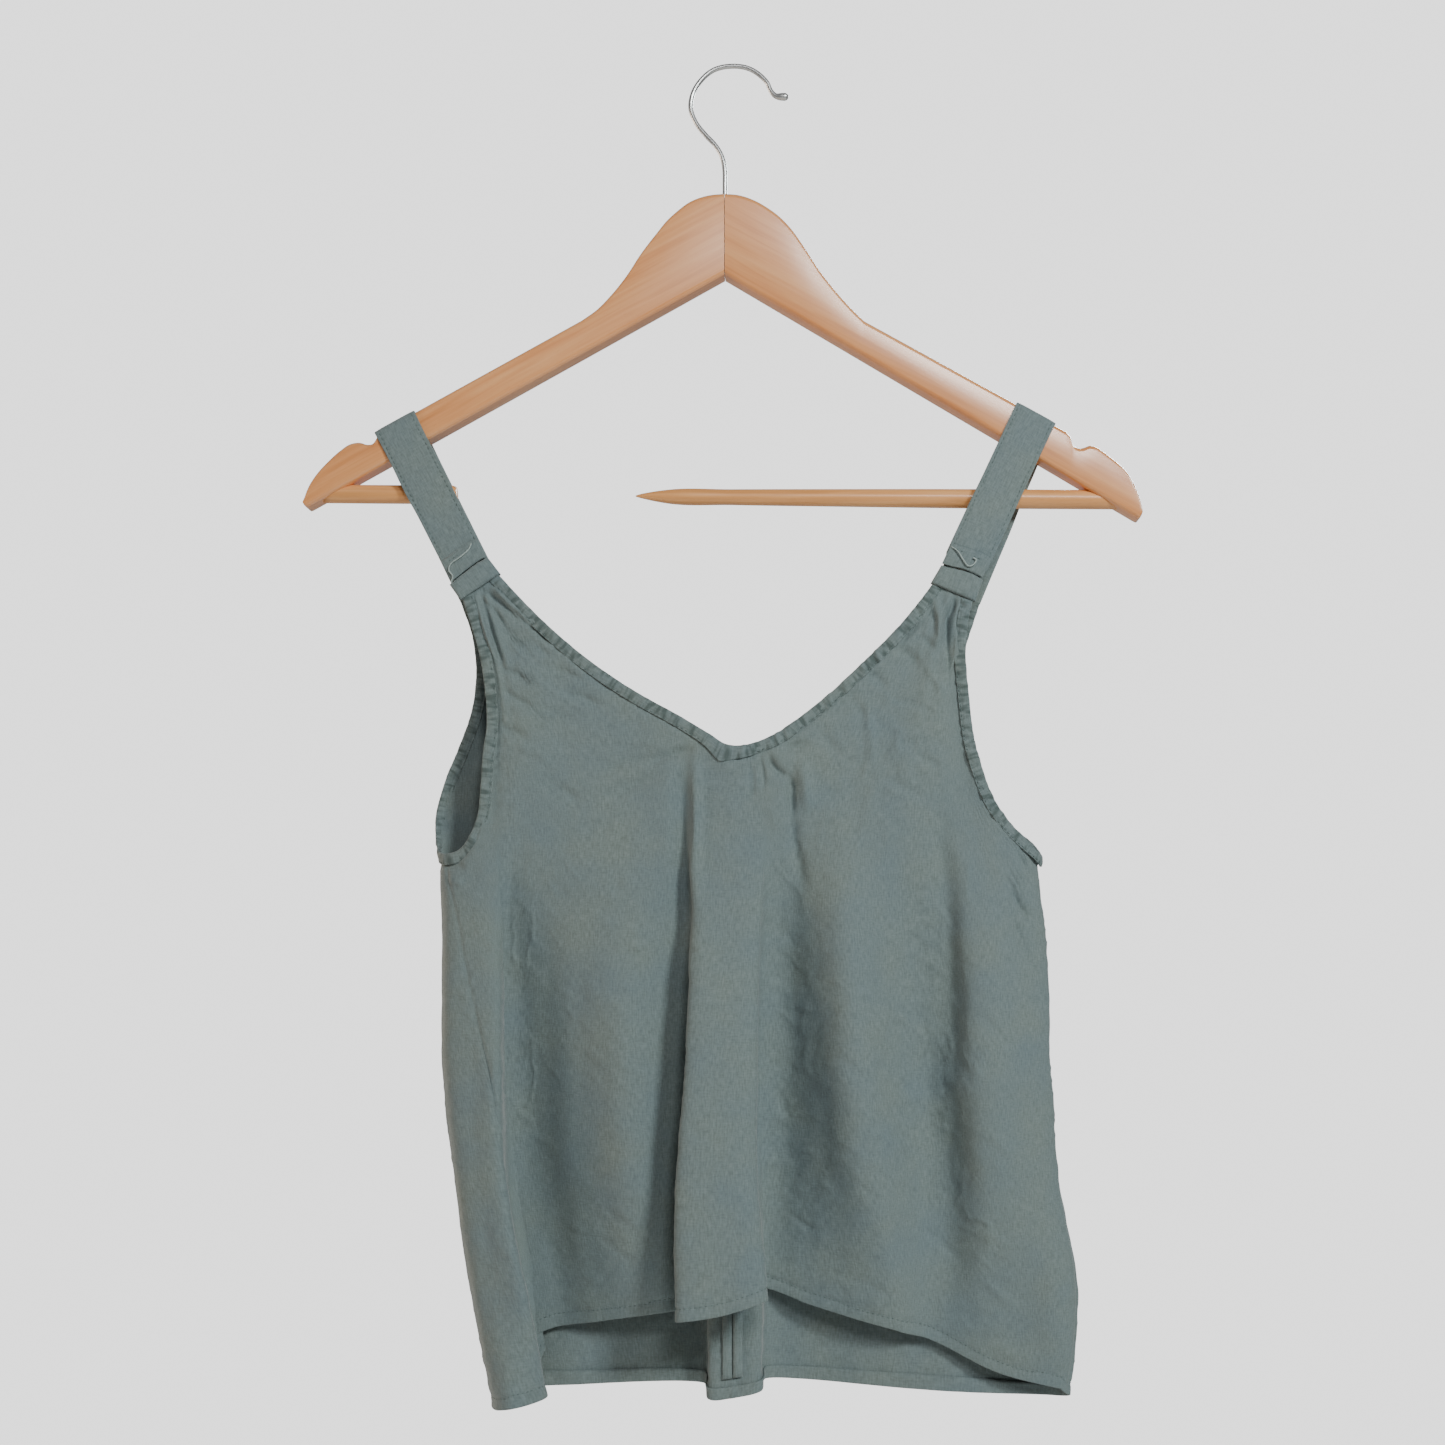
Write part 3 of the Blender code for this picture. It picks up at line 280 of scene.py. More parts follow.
NECK_FRONT = (
    (19 / 3, -125.3, -267.3, -10.5, 0),
    (6.65, -104, -290, -11.5, 0),
    (7.0, -89, -304, -12, 0),
    (7.3, -77, -314, -12.5, 0),
    (8.0, -50, -332.5, -13.5, 0),
    (9.0, -25, -346.5, -14.5, 0),
    (10.0, -20, -349.5, -15, 0),
    (10.5, -11, -355, -15.5, 0),
    (11.0, -2, -360.5, -16, 0),
    (11.5, 6.5, -361, -16, 0),
    (12.0, 15, -358.5, -15.5, 0),
    (13.0, 23, -355, -15, 0),
    (14.0, 32, -349, -14, 0),
    (14.5, 48, -336.5, -13.5, 0),
    (15.0, 72, -314.5, -13, 0),
    (15.25, 90, -296, -12, 0),
    (15.5, 109.6, -270.9, -10.5, 0),
)
ARMHOLE_RIGHT = (
    (49 / 3, 128.3, -279.3, -10.5, 0),
    (16.5, 124.5, -296, -11.5, 0),
    (16.7, 123.3, -310, -12, 0),
    (17.0, 125, -335, -12.5, 0),
    (17.25, 128, -358, -12, 0),
    (17.5, 132.5, -374, -11, 8),
    (17.75, 140, -391.5, -9.5, 15),
    (18.0, 149, -403, -7.5, 25),
    (18.5, 158, -412, -5, 45),
    (19.0, 164, -418, -1, 80),
    (19.5, 162, -413, 5, 115),
    (20.0, 154, -405, 9, 150),
    (20.12, 143, -394, 11, 170),
    (20.24, 133, -380, 12, 180),
    (20.36, 126, -362, 13, 180),
    (20.5, 122.5, -335, 13, 180),
    (20.62, 124.5, -310, 13, 180),
    (20.75, 133, -281, 12, 180),
)
NECK_BACK = (
    (21.2, 112, -272, 12, 180),
    (21.4, 93, -298, 14, 180),
    (21.6, 76, -315.5, 15, 180),
    (22.0, 45, -344.5, 16, 180),
    (22.5, 30, -356, 16, 180),
    (23.0, 15, -365, 16, 180),
    (24.0, 0, -369, 16, 180),
    (25.0, -14, -361, 16, 180),
    (25.5, -29, -351, 16, 180),
    (26.0, -44, -341.5, 16, 180),
    (26.4, -69, -325.5, 15.5, 180),
    (26.7, -87, -311.5, 15, 180),
    (27.0, -106, -295, 14, 180),
    (27.2, -126, -269, 12, 180),
)

# Hems. Columns: label, z
FRONT_HEM = (
    (2, -700),
    (3, -690),
    (4, -681),
    (5, -674),
    (6, -668),
    (7, -663.5),
    (8, -659),
    (9, -656),
    (10, -655.5),
    (11, -652),
    (12, -645.5),
    (13, -646),
    (14, -653.5),
    (15, -667),
    (16, -674),
    (17, -690),
    (18, -698.5),
    (19, -702),
)
BACK_HEM = (
    (19, -702),
    (20, -704.5),
    (21, -701.5),
    (22, -696),
    (23, -699),
    (24, -702),
    (25, -703),
    (26, -698.5),
    (27, -699.5),
    (28, -707.5),
    (29, -704),
    (30, -700),
)

# Straps and their bands. "over" is x of the strap's middle on the arm, and the ends are x, y and z
# of its middle line. The band's edges run from its left end to its right end, in x and z. The
# thread end's columns are x, z and how far it lies in front of the strap.
STRAPS = {
    "left": {
        "over": -177.5,
        "front": (-136.0, -10.5, -271.1),
        "back": (-136.4, 12.0, -274.2),
        "front_across": (0.852, 0.0, 0.524),
        "back_across": (0.881, 0.0, 0.473),
        "band_top": ((-147.7, -275.2), (-127.3, -262.6)),
        "band_low": ((-141.9, -284.4), (-121.0, -270.6)),
        "thread_end": (
            (-136.1, -254.5, 1.6),
            (-137.4, -258, 2.6),
            (-141, -261.5, 2.9),
            (-146.5, -265.5, 2.8),
            (-147.7, -269, 2.8),
            (-145.8, -272, 2.7),
            (-146.5, -276, 3.1),
        ),
    },
    "right": {
        "over": 160.6,
        "front": (119.4, -10.5, -273.2),
        "back": (122.6, 12.0, -276.2),
        "front_across": (0.919, 0.0, -0.393),
        "back_across": (0.919, 0.0, -0.394),
        "band_top": ((110.5, -264.9), (132.3, -274.1)),
        "band_low": ((104.9, -275.4), (128.2, -285.2)),
        "thread_end": (
            (115.5, -256.3, 1.6),
            (119, -259, 2.7),
            (122, -263.8, 2.9),
            (124.5, -266.8, 2.9),
            (127.2, -266, 2.8),
            (128.6, -263.6, 2.7),
            (127, -262.4, 2.6),
        ),
    },
}

# Outlines of the two arms in x and z: from the joint over the shoulder to the straight top, and
# from the end of the straight top round the notch to the lower tip
ARMS = {
    "left": {
        "shoulder": (
            (-3.75, -68.5),
            (-12, -69.3),
            (-21.8, -72.7),
            (-29, -78),
            (-33.9, -82.5),
            (-39.2, -89),
            (-47.3, -99.5),
            (-56, -112.7),
            (-64, -122.6),
            (-71, -129.7),
            (-78.8, -135.3),
        ),
        "end": (
            (-186, -194.6),
            (-187.8, -198.5),
            (-189.5, -200.6),
            (-192.5, -201),
            (-196, -200),
            (-200.7, -200.5),
            (-207.1, -204.6),
            (-212.9, -209.9),
            (-218.7, -216.2),
            (-222.9, -222.6),
            (-225.3, -228.9),
            (-225.9, -232.5),
            (-224.6, -234),
            (-222, -233),
        ),
        "low_middle": (-3.75, -111.3),
        "bore_end": -216.8,
    },
    "right": {
        "shoulder": (
            (-3.45, -68.5),
            (4, -69.2),
            (12.5, -72.1),
            (19, -75.8),
            (24.5, -79.8),
            (31, -86.3),
            (38, -96),
            (46.8, -109.4),
            (56.3, -121.4),
            (63, -128.8),
            (70, -135.7),
        ),
        "end": (
            (177, -194.4),
            (179.3, -197.5),
            (180.6, -201.5),
            (184, -203),
            (186.7, -202.5),
            (189, -201.6),
            (192.5, -202.2),
            (196.5, -204.8),
            (202.5, -209.4),
            (208.3, -214.7),
            (212.5, -221.5),
            (215.2, -227.9),
            (216.7, -233.7),
            (216.8, -238),
            (215.5, -240),
            (213, -239),
        ),
        "low_middle": (-3.45, -111.3),
        "bore_end": 206.8,
    },
}

# Trouser bar, in two pieces, along its middle. Columns: x, z, radius
BARS = {
    "left": (
        (-216.5, -225.9, 4.8),
        (-160, -226.3, 4.8),
        (-147.5, -226.4, 4.7),
        (-146, -226.4, 4.2),
    ),
    "right": (
        (206.5, -229, 5.0),
        (120, -228.4, 5.0),
        (60, -228, 4.6),
        (0, -227.6, 4.1),
        (-34, -227.3, 3.6),
        (-43, -227.1, 2.2),
        (-49, -227, 0.9),
        (-51, -227, 0.3),
    ),
}

# Middle line of the hook from the stem to the tip. Columns: x, z, radius
HOOK = (
    (-3.6, -108, 1.25),
    (-3.6, -66, 1.25),
    (-3.6, -60, 1.25),
    (-3.6, -56, 1.25),
    (-4.1, -51, 1.25),
    (-5.6, -46, 1.25),
    (-8.6, -41, 1.25),
    (-14, -35.2, 1.25),
    (-19.2, -28.5, 1.25),
    (-21.8, -21, 1.25),
    (-20.5, -13, 1.25),
    (-16.5, -6.5, 1.25),
    (-10, -1, 1.25),
    (0, 1.25, 1.25),
    (9, 0, 1.25),
    (15.5, -4, 1.25),
    (19, -8, 1.25),
    (20.8, -12, 1.25),
    (23.5, -14.6, 1.4),
    (27, -15, 1.9),
    (29, -15, 1.7),
    (30, -15, 0.9),
)

# Fold walls that go back under their own edge. Columns: first and last label, how far
UNDERCUTS = ((12, 14, 5.0), (4.1, 6.3, 8.0))
UNDERCUT_START = -385.0
UNDERCUT_FADE = 90.0
UNDERCUT_STEP = 0.5

# Labels between which the front's main creases show, and those of the strip at the left side
MAIN_LABELS = (4.8, 19.4)
STRIP_LABELS = (1.9, 5.2)

# The seam allowance leans towards this column from the seam, ends this many rows above the hem,
# and is frayed and curled further out than these distances
ALLOWANCE_COLUMN = 4
ALLOWANCE_SHORT = 6
FRAYED_FROM = 4
CURLED_FROM = 2

# Section of a seam allowance. Columns: distance from the seam, depth under the cloth
ALLOWANCE = ((0.3, 0.9), (2.6, 0.8), (5.0, 1.0), (5.3, 1.3), (5.0, 1.6), (2.6, 1.5), (0.3, 1.6))

# Rounded sections. Columns: sides, and the powers that make them square across and in depth
BINDING_SECTION = (24, 0.55, 0.6)
STRAP_SECTION = (36, 0.4, 0.45)
BAND_SECTION = (72, 0.3, 0.35)
TAB_SECTION = (40, 0.35, 0.5)

# Rows of stitches. Columns: pitch, length, radius of the thread
HEM_STITCHES = (2.7, 1.9, 0.23)
BINDING_STITCHES = (2.6, 1.7, 0.2)
STRAP_STITCHES = (2.8, 1.8, 0.17)
TAB_STITCHES = (2.4, 1.6, 0.2)

# Dents and waves leave out the rims of a section, this far across or more
RIM = 0.95

# A stitch from end to end: its share of the thread's radius, and how high it lies in radii
STITCH_SWELL = (0.25, 0.85, 1.0, 0.85, 0.25)
STITCH_RISE = (-0.8, 0.3, 0.7, 0.3, -0.8)
STITCH_SIDES = 6

# Bindings. Columns: name, edge, node, how strongly puckered, how much more right of the V, seed
BINDINGS = (
    ("neck_edge_front", NECK_FRONT, "neck_binding_front", 0.4, 0.8, 101),
    ("neck_edge_back", NECK_BACK, "neck_binding_back", 0.6, 0, 111),
    ("armhole_edge_left", ARMHOLE_LEFT, "armhole_binding_left", 0.6, 0, 121),
    ("armhole_edge_right", ARMHOLE_RIGHT, "armhole_binding_right", 0.95, 0, 131),
)

# Layers of smooth unevenness. Columns: depth, slant in degrees, cell sizes, seed
SOFT_DENTS = (
    (0.45, 0, (17, 30, 33), 3),
    (0.24, 0, (8, 15, 11), 5),
    (0.11, 35, (3.4, 12, 6.5), 6),
)
HEM_PUCKERS = ((1, 0, (4.5, 30, 7), 71), (0.6, 0, (9, 30, 9), 72))
ALLOWANCE_FRAY = ((0.35, 0, (9, 9, 3.1), 81),)
ALLOWANCE_CURL = ((0.35, 0, (9, 9, 14), 82),)
PINCHES = ((1, 0, (2.6, 9, 9), 0), (0.5, 0, (1.5, 9, 9), 1), (0.5, 0, (9, 9, 9), 2))
STRAP_WAVER = ((0.25, 0, (19, 9, 9), 141),)
STRAP_DENTS = ((0.3, 0, (7, 12, 9), 151), (0.22, 40, (4, 9, 12), 152))
BAND_WAVES = ((0.3, 0, (6, 9, 4), 161), (0.15, 0, (2.5, 9, 3), 162))
THREAD_WAVER = ((0.06, 0, (1.5, 9, 1.5), 163),)
TAB_WAVES = ((0.35, 0, (5, 9, 4), 171), (0.15, 0, (2.5, 9, 2.2), 172))

# Thin ridges of the washed cloth. Columns: slant in degrees, cell sizes, depth
RIDGES = (
    (8, (9, 30, 34), 0.5),
    (52, (8, 30, 24), 0.42),
    (-48, (8, 30, 24), 0.42),
    (88, (7, 30, 20), 0.3),
)
RIDGE_SEED = 11
RIDGE_WIDTH = 0.16

# How far ridges bend and the patches where they come and go, each with its cells and first seed,
# and how the patches' values are scaled and lifted
RIDGE_BEND = 0.35
BEND_CELLS = (6, 9, 6)
BEND_SEED = 31
PATCH_CELLS = (27, 40, 31)
PATCH_SEED = 51
PATCH_SPREAD = (1.6, 0.1)

# How strongly the cloth is crumpled: everywhere, more right of x on the front, and more at each of
# the places under the straps. Columns of those: x, z, reach across, reach up and down
CRUMPLED = 1.1
CRUMPLED_RIGHT = 0.3
RIGHT_START = 14
RIGHT_FADE = 18
RIGHT_MIDDLE = -560
RIGHT_REACH = 110
CRUMPLED_MORE = ((-112, -305, 34, 48), (104, -315, 30, 52))

CREASE_FADE = 0.35

# Creases die away over a distance from the bound edges, the hem and the arm under a strap, down
# to a share. Columns: distance, share
CALM_TOP = (5, 0.2)
CALM_HEM = (12, 0.35)
CALM_ARM = (12, 0.15)

# Main creases. Columns: x and z of the start, x and z of the end, bow, width, height
FRONT_CREASES = (
    # beside the tongue and down the two valleys
    (60, -392, 65, -620, 0, 12, 4.0),
    (25, -395, 27, -660, 0, 9, -3.4),
    (108, -372, 116, -560, 2, 7, -4.5),
    (115, -530, 118, -668, 0, 9, -3.0),
    (136, -430, 142, -620, 0, 11, 2.5),
    (-119, -392, -106, -655, 0, 11, -4.2),
    (-66, -440, -45, -655, 0, 13, 3.4),
    (166, -600, 174, -700, 0, 11, 3.0),
    # top of the tongue
    (-19, -356, -18, -452, 0, 3.4, 4.6),
    (-26, -356, -25, -476, 0, 4.6, -4.4),
    (-12, -372, -10, -430, 0, 7, 1.0),
    # pulled from the point of the neck
    (9.5, -365, 10.5, -394, 1, 1.3, -1.44),
    (14, -365, 17, -386, 1.5, 1.2, -1.44),
    (19, -366, 31, -378, -2, 2.0, -2.88),
    (31, -374, 31.5, -400, 0.5, 2.2, -3.52),
    (31, -390, 39, -440, -1, 3.2, -2.76),
    (36, -364, 40, -398, 1, 3.4, 2.88),
    (-46, -373, -17, -362, 1.5, 1.8, -2.24),
    (-75, -377, -30, -366, 2, 2.2, -1.44),
    (-70, -394, -28, -373, 2, 2.5, -1.44),
    (-60, -360, -34, -361, 1, 1.6, 1.12),
    (24, -364, 44, -360, 1, 1.6, -1.28),
    # under the left strap
    (-131, -283, -116, -303, 1.0, 1.3, -1.7),
    (-130, -274, -98, -303, 0.6, 1.3, 1.9),
    (-121, -276, -104, -290, 0.8, 1.0, -1.3),
    (-135, -277, -112, -293, 0.8, 1.2, -2.6),
    (-112, -293, -92, -310, 0.8, 1.4, -2.2),
    (-123, -299, -92, -312, -2.0, 1.5, -2.56),
    (-133, -286, -123, -318, -1, 1.9, 2.4),
    (-129, -290, -118, -322, -1, 1.4, -1.76),
    (-118, -307, -98, -312, 1.5, 1.7, 1.76),
    (-123, -321, -104, -328, 1.5, 1.9, -2.4),
    (-121, -331, -101, -341, -1, 1.8, -2.08),
    (-112, -326, -94, -330, 1, 1.8, 1.6),
    (-98, -322, -76, -326, 1.5, 1.6, -1.92),
    (-92, -333, -66, -341, 2, 2.0, -1.76),
    (-110, -345, -78, -348, 2, 2.2, -1.6),
    (-123, -352, -104, -358, 1, 2.0, -1.76),
    (-116, -362, -92, -370, 2, 2.2, 1.44),
    (-104, -380, -76, -392, 2, 2.6, -1.6),
    # under the right strap
    (112.3, -281, 113.4, -330, 0.6, 1.4, -2.69),
    (102, -276, 108, -298, -1, 1.3, -2.2),
    (119, -283, 110, -298, 1, 1.3, -2.3),
    (108, -282, 109, -312, 0.5, 1.6, 2.5),
    (117.5, -290, 117, -322, 0.8, 1.5, 1.87),
    (99, -294, 88, -306, 1, 1.7, -1.73),
    (87, -309, 99, -319, 1, 1.9, -2.3),
    (96, -302, 109, -316, 2, 1.8, -1.5),
    (101, -318, 111, -336, 1.5, 1.8, 1.27),
    (66, -321, 83, -332, 2, 2.0, -1.5),
    (58, -330, 72, -352, 1.5, 2.2, -1.61),
    (70, -337, 75, -376, 1, 2.6, 1.61),
    (82, -338, 108, -344, 2, 2.0, -1.38),
    (86, -356, 118, -349, -2, 2.2, 1.15),
    (94, -366, 112, -374, 1, 2.0, -1.27),
    (44, -350, 58, -372, 1.5, 2.2, -1.38),
    (78, -378, 104, -392, 2, 2.6, -1.04),
    # beside the right underarm
    (150, -414, 155, -428, 1, 1.6, -2.45),
    (155, -426, 147, -436, 0, 1.6, 2.16),
    (147, -433, 158, -453, -1.5, 2.0, -2.59),
    (145, -446, 156, -480, 1.5, 2.2, -2.02),
    (158, -470, 163, -500, 0, 1.8, -0.99),
    # small slanting creases over the right of the front
    (30, -606, 48, -616, -2, 1.7, -0.89),
    (60, -586, 80, -604, 2, 2.3, -0.79),
    (72, -560, 96, -572, -3, 2.4, 0.79),
    (54, -520, 70, -540, 2, 2.2, -0.79),
    (84, -500, 104, -520, 2, 2.3, 0.79),
    (96, -470, 110, -452, 2, 2.0, -0.69),
    (124, -500, 146, -520, 2, 2.2, -0.89),
    (128, -560, 150, -584, 3, 2.5, 0.89),
    (96, -612, 120, -634, 2, 2.3, -0.79),
    (130, -640, 150, -660, 2, 2.4, 0.89),
    (60, -640, 84, -650, 2, 1.9, -0.79),
    (20, -540, 30, -560, 1, 2.0, -0.89),
    (-12, -470, 6, -486, 1, 2.2, -0.6),
    (-14, -560, 4, -548, 1, 2.2, 0.6),
    (-70, -600, -44, -622, 2, 2.4, -0.69),
)
STRIP_CREASES = (
    (-155, -424, -138, -425, 1, 2.0, -1.6),
    (-152, -431, -139, -434, 1, 2.2, 1.2),
    (-148, -446, -136, -486, -2, 2.2, -1.5),
    (-144, -482, -134, -486, 1, 2.2, 1.2),
    (-146, -505, -130, -508, 1, 2.2, -1.4),
    (-142, -540, -128, -556, 1, 2.5, 0.9),
    (-136, -600, -118, -612, 1, 2.6, -1.0),
    (-122, -650, -104, -664, 2, 2.8, 1.0),
    (-116, -684, -100, -676, 1, 2.2, -1.3),
)
BACK_CREASES = (
    (2, -376, 3, -430, 0, 2.0, 0.9),
    (-16, -376, -24, -412, 2, 2.4, -1.0),
    (18, -376, 27, -416, -2, 2.4, -1.0),
    (-120, -292, -104, -318, 2, 2.0, -1.5),
    (-128, -296, -120, -326, 1, 1.8, 1.2),
    (108, -292, 116, -326, 1, 1.9, -1.5),
    (120, -296, 118, -330, 1, 1.8, 1.2),
    (70, -420, 104, -444, 3, 2.6, -0.9),
    (-110, -440, -70, -424, 3, 2.6, 0.9),
    (60, -520, 92, -548, 3, 2.8, -0.9),
    (-100, -560, -64, -530, 3, 2.8, -0.9),
    (96, -600, 140, -630, 3, 2.6, 0.9),
    (-90, -640, -50, -620, 3, 2.6, 0.9),
    (40, -460, 60, -640, 4, 9, -2.5),
    (-48, -470, -58, -650, -4, 9, -2.5),
    (128, -450, 136, -640, 2, 10, 2.0),
    (-120, -450, -108, -640, 2, 10, 2.0),
)

# Tones from dark to pale, and where they lie on the weave's values. They are the threads' own
# uneven tone, and also painted shade: the weave's low values are the hollows of its relief, which
# get the darker tones
LINEN = ("69736f", "737e7b", "7e8986")
LINEN_COOL = ("647174", "6d7a7c", "758385")
LINEN_STOPS = (0.36, 0.5, 0.66)
# Painted shade: the darker tone laid in streaks between the bindings' puckers
LINEN_PUCKER_SHADE = "46524f"
WOOD_STOPS = (0.35, 0.5, 0.66)

# Sizes across and along the panel or the grain, in metres: the linen's upright streaks and its
# slubs, the streaks of painted shade between the bindings' puckers, the wood's fine grain, broad
# grain and flecks
WEAVE = ((0.0008, 0.0042), (0.003, 0.0008))
SLUB_SHARE = 0.38
PUCKERS = (0.009, 0.0026)
GRAINS = ((0.0022, 0.06), (0.014, 0.12), (0.0007, 0.004))

# Noise on the finishes. Columns: cells to a metre, layers of detail
DYE_PATCHES = (38.0, 5.0)
LINEN_FUZZ = (260.0, 3.0)
THREAD_TWIST = (900.0, 1.0)
STEEL_GRAIN = (400.0, 2.0)

# Camera and studio, in metres
FRAME_WIDTH = 0.7673
SENSOR = 36.0
LENS_SHIFT = (-0.0571, 0.1574)
CAMERA_PLACE = (0.0389, -1.0, -0.468)
CENTRE = (0, 0, -0.45)
FLOOR_HEIGHT = -1.3
FLOOR_RADIUS = 2
FLOOR_SIDES = 96
LIGHT_DISTANCE = 2.1

# Soft lights. Columns: name, degrees to the right and upwards, target, power, size, colour
LIGHTS = (
    ("cool light from the right", (36, 26), CENTRE, 32, 0.35, "ecf5f4"),
    ("warm light from the left", (-76, 8), CENTRE, 11, 0.6, "ffe8cf"),
    ("sheen on the wood", (7, 20), (0.12, 0, -0.15), 15, 0.4, "ffffff"),
    ("light behind the back", (155, 30), CENTRE, 34, 0.6, "eaf4f6"),
    ("low light behind", (-125, 8), CENTRE, 18, 0.9, "ffeedd"),
)

# The surround: what the camera sees, what lights the object, and the share of the first that
# shiny surfaces see
BACKDROP = 2.2
AMBIENT = 0.045
SHINE_SHARE = 0.12


def unit(vectors):
    """The same directions, each of length 1."""
    return vectors / np.maximum(np.linalg.norm(vectors, axis=-1, keepdims=True), TINY)


def lengths(points):
    """Length along a path up to each of its points."""
    return np.concatenate([[0.0], np.cumsum(np.linalg.norm(np.diff(points, axis=0), axis=1))])


def sampled(at, knots, rows):
    """Each column of the rows, read off between the knots on straight lines."""
    return np.stack([np.interp(at, knots, column) for column in rows.T], axis=-1)


def bell(values, width):
    """1 where the values pass through zero, falling away on both sides."""
    return np.exp(-((values / width) ** 2))


def faded(away, distance, least):
    """A share that grows from the least one to 1 over a distance."""
    return np.clip(away / distance, least, 1)


def eased(share):
    """A share from 0 to 1, level at both ends."""
    return share * share * (3 - 2 * share)


def rounded(sides, wide, deep):
    """Across and depth, each from -1 to 1, round a box with rounded corners: a circle's, taken to
    powers below 1. The lower the powers, the squarer the box."""
    angle = np.linspace(0, 2 * math.pi, sides, endpoint=False)
    across, depth = np.cos(angle), np.sin(angle)
    return np.sign(across) * np.abs(across) ** wide, np.sign(depth) * np.abs(depth) ** deep


def hermite(t, start, end, start_slope, end_slope):
    """A cubic between two values as t goes from 0 to 1, with a slope at each end."""
    curve = start * (1 - 3 * t**2 + 2 * t**3) + end * (3 * t**2 - 2 * t**3)
    return curve + start_slope * (t - 2 * t**2 + t**3) + end_slope * (t**3 - t**2)


def stretches(knots, at):
    """The stretch between two knots that holds each place, its width, and the share of it that
    lies before the place."""
    number = np.clip(np.searchsorted(knots, at, side="right") - 1, 0, len(knots) - 2)
    width = knots[number + 1] - knots[number]
    return number, width[..., None], ((at - knots[number]) / width)[..., None]


def glide(knots, values, at):
    """A smooth curve through values at rising knots: cubic pieces, with the slope at each knot
    worked out from both its neighbours."""
    knots = np.asarray(knots, float)
    values = np.asarray(values, float).reshape(len(knots), -1)
    slopes = np.gradient(values, knots, axis=0)
    start, width, t = stretches(knots, np.clip(np.asarray(at, float), knots[0], knots[-1]))
    end = start + 1
    return hermite(t, values[start], values[end], slopes[start] * width, slopes[end] * width)


FOLD_XY = np.array([list(zip(row[2], row[3])) for row in FOLDS], float)


def line_at(number, z):
    """x and y of a fold line, whose number wraps round the body, at height z."""
    knots = -np.array(LEVELS)
    values = FOLD_XY[number % LINES]
    slopes = np.gradient(values, knots, axis=-2)
    start, width, t = stretches(knots, np.clip(-z, knots[0], knots[-1]))

    def pick(table, index):
        return np.take_along_axis(table, index[..., None, None], axis=-2)[..., 0, :]

    start_slope, end_slope = (pick(slopes, index) * width for index in (start, start + 1))
    return hermite(t, pick(values, start), pick(values, start + 1), start_slope, end_slope)


def body(place, z):
    """x and y of the cloth's middle at a place round the body and a height: a centripetal spline
    through the two fold lines on each side."""
    place, z = np.broadcast_arrays(np.asarray(place, float), np.asarray(z, float))
    number = np.floor(place).astype(int)
    share = (place - number)[..., None]
    a, b, c, d = (line_at(number + step, z) for step in (-1, 0, 1, 2))

    def knot_step(first, second):
        return np.sqrt(np.linalg.norm(second - first, axis=-1, keepdims=True)) + TINY

    t1 = knot_step(a, b)
    t2 = t1 + knot_step(b, c)
    t3 = t2 + knot_step(c, d)
    t = t1 + share * (t2 - t1)
    ab = (a * (t1 - t) + b * t) / t1
    bc = (b * (t2 - t) + c * (t - t1)) / (t2 - t1)
    cd = (c * (t3 - t) + d * (t - t2)) / (t3 - t2)
    abc = (ab * (t2 - t) + bc * t) / t2
    bcd = (bc * (t3 - t) + cd * (t - t1)) / (t3 - t1)
    return (abc * (t2 - t) + bcd * (t - t1)) / (t2 - t1)


def seam_at(path, z):
    """Where a side seam lies round the body at height z."""
    path = np.array(path, float)
    return glide(-path[:, 0], path[:, 1], -np.asarray(z))[..., 0]


def lean(label, fixed, seam, seam_place):
    """Where a column between a fixed one and a seam lies round the body: it leans with the seam."""
    return fixed + (label - fixed) / (seam - fixed) * (seam_place - fixed)


def front_place(label, z):
    """Where a column of the front lies round the body: columns near a seam lean with it."""
    from_left = lean(label, FRONT_FIXED_LEFT, SEAM_LEFT, seam_at(LEFT_SEAM_PATH, z))
    from_right = lean(label, FRONT_FIXED_RIGHT, SEAM_RIGHT, seam_at(RIGHT_SEAM_PATH, z))
    place = np.where(label < FRONT_FIXED_LEFT, from_left, label)
    return np.where(label > FRONT_FIXED_RIGHT, from_right, place)


def back_place(label, z):
    """The same for the back, which runs from the right seam to the left one."""
    left_seam = seam_at(LEFT_SEAM_PATH, z) + LINES
    from_right = lean(label, BACK_FIXED_RIGHT, SEAM_RIGHT, seam_at(RIGHT_SEAM_PATH, z))
    from_left = lean(label, BACK_FIXED_LEFT, SEAM_LEFT_FROM_BACK, left_seam)
    place = np.where(label < BACK_FIXED_RIGHT, from_right, label)
    return np.where(label > BACK_FIXED_LEFT, from_left, place)


def edge(table, labels, distance=0.0):
    """Points of a finished edge, moved into the cloth by a distance square to the edge's own run
    and to the way that its cloth faces, and that way. The curve runs evenly along the edge."""
    rows = np.array(table, float)
    length = lengths(rows[:, 1:4])
    at = np.interp(labels, rows[:, 0], length)
    probes = (-EDGE_PROBE, 0, EDGE_PROBE)
    before, found, after = (glide(length, rows[:, 1:], at + probe) for probe in probes)
    facing = np.radians(found[..., 3])
    faces = np.stack([np.sin(facing), -np.cos(facing), 0 * facing], axis=-1)
    inward = unit(np.cross((after - before)[..., [0, 2, 1]], faces))
    return found[..., [0, 2, 1]] + distance * inward, faces


def panel_labels(start, end, finer=1):
    """Column labels from one place to another, with each fold line's own number of columns."""
    labels = []
    for number in range(int(start), int(end)):
        steps = FOLDS[number % LINES][1] * finer
        labels += [number + step / steps for step in range(steps)]
    return np.array(labels + [end])


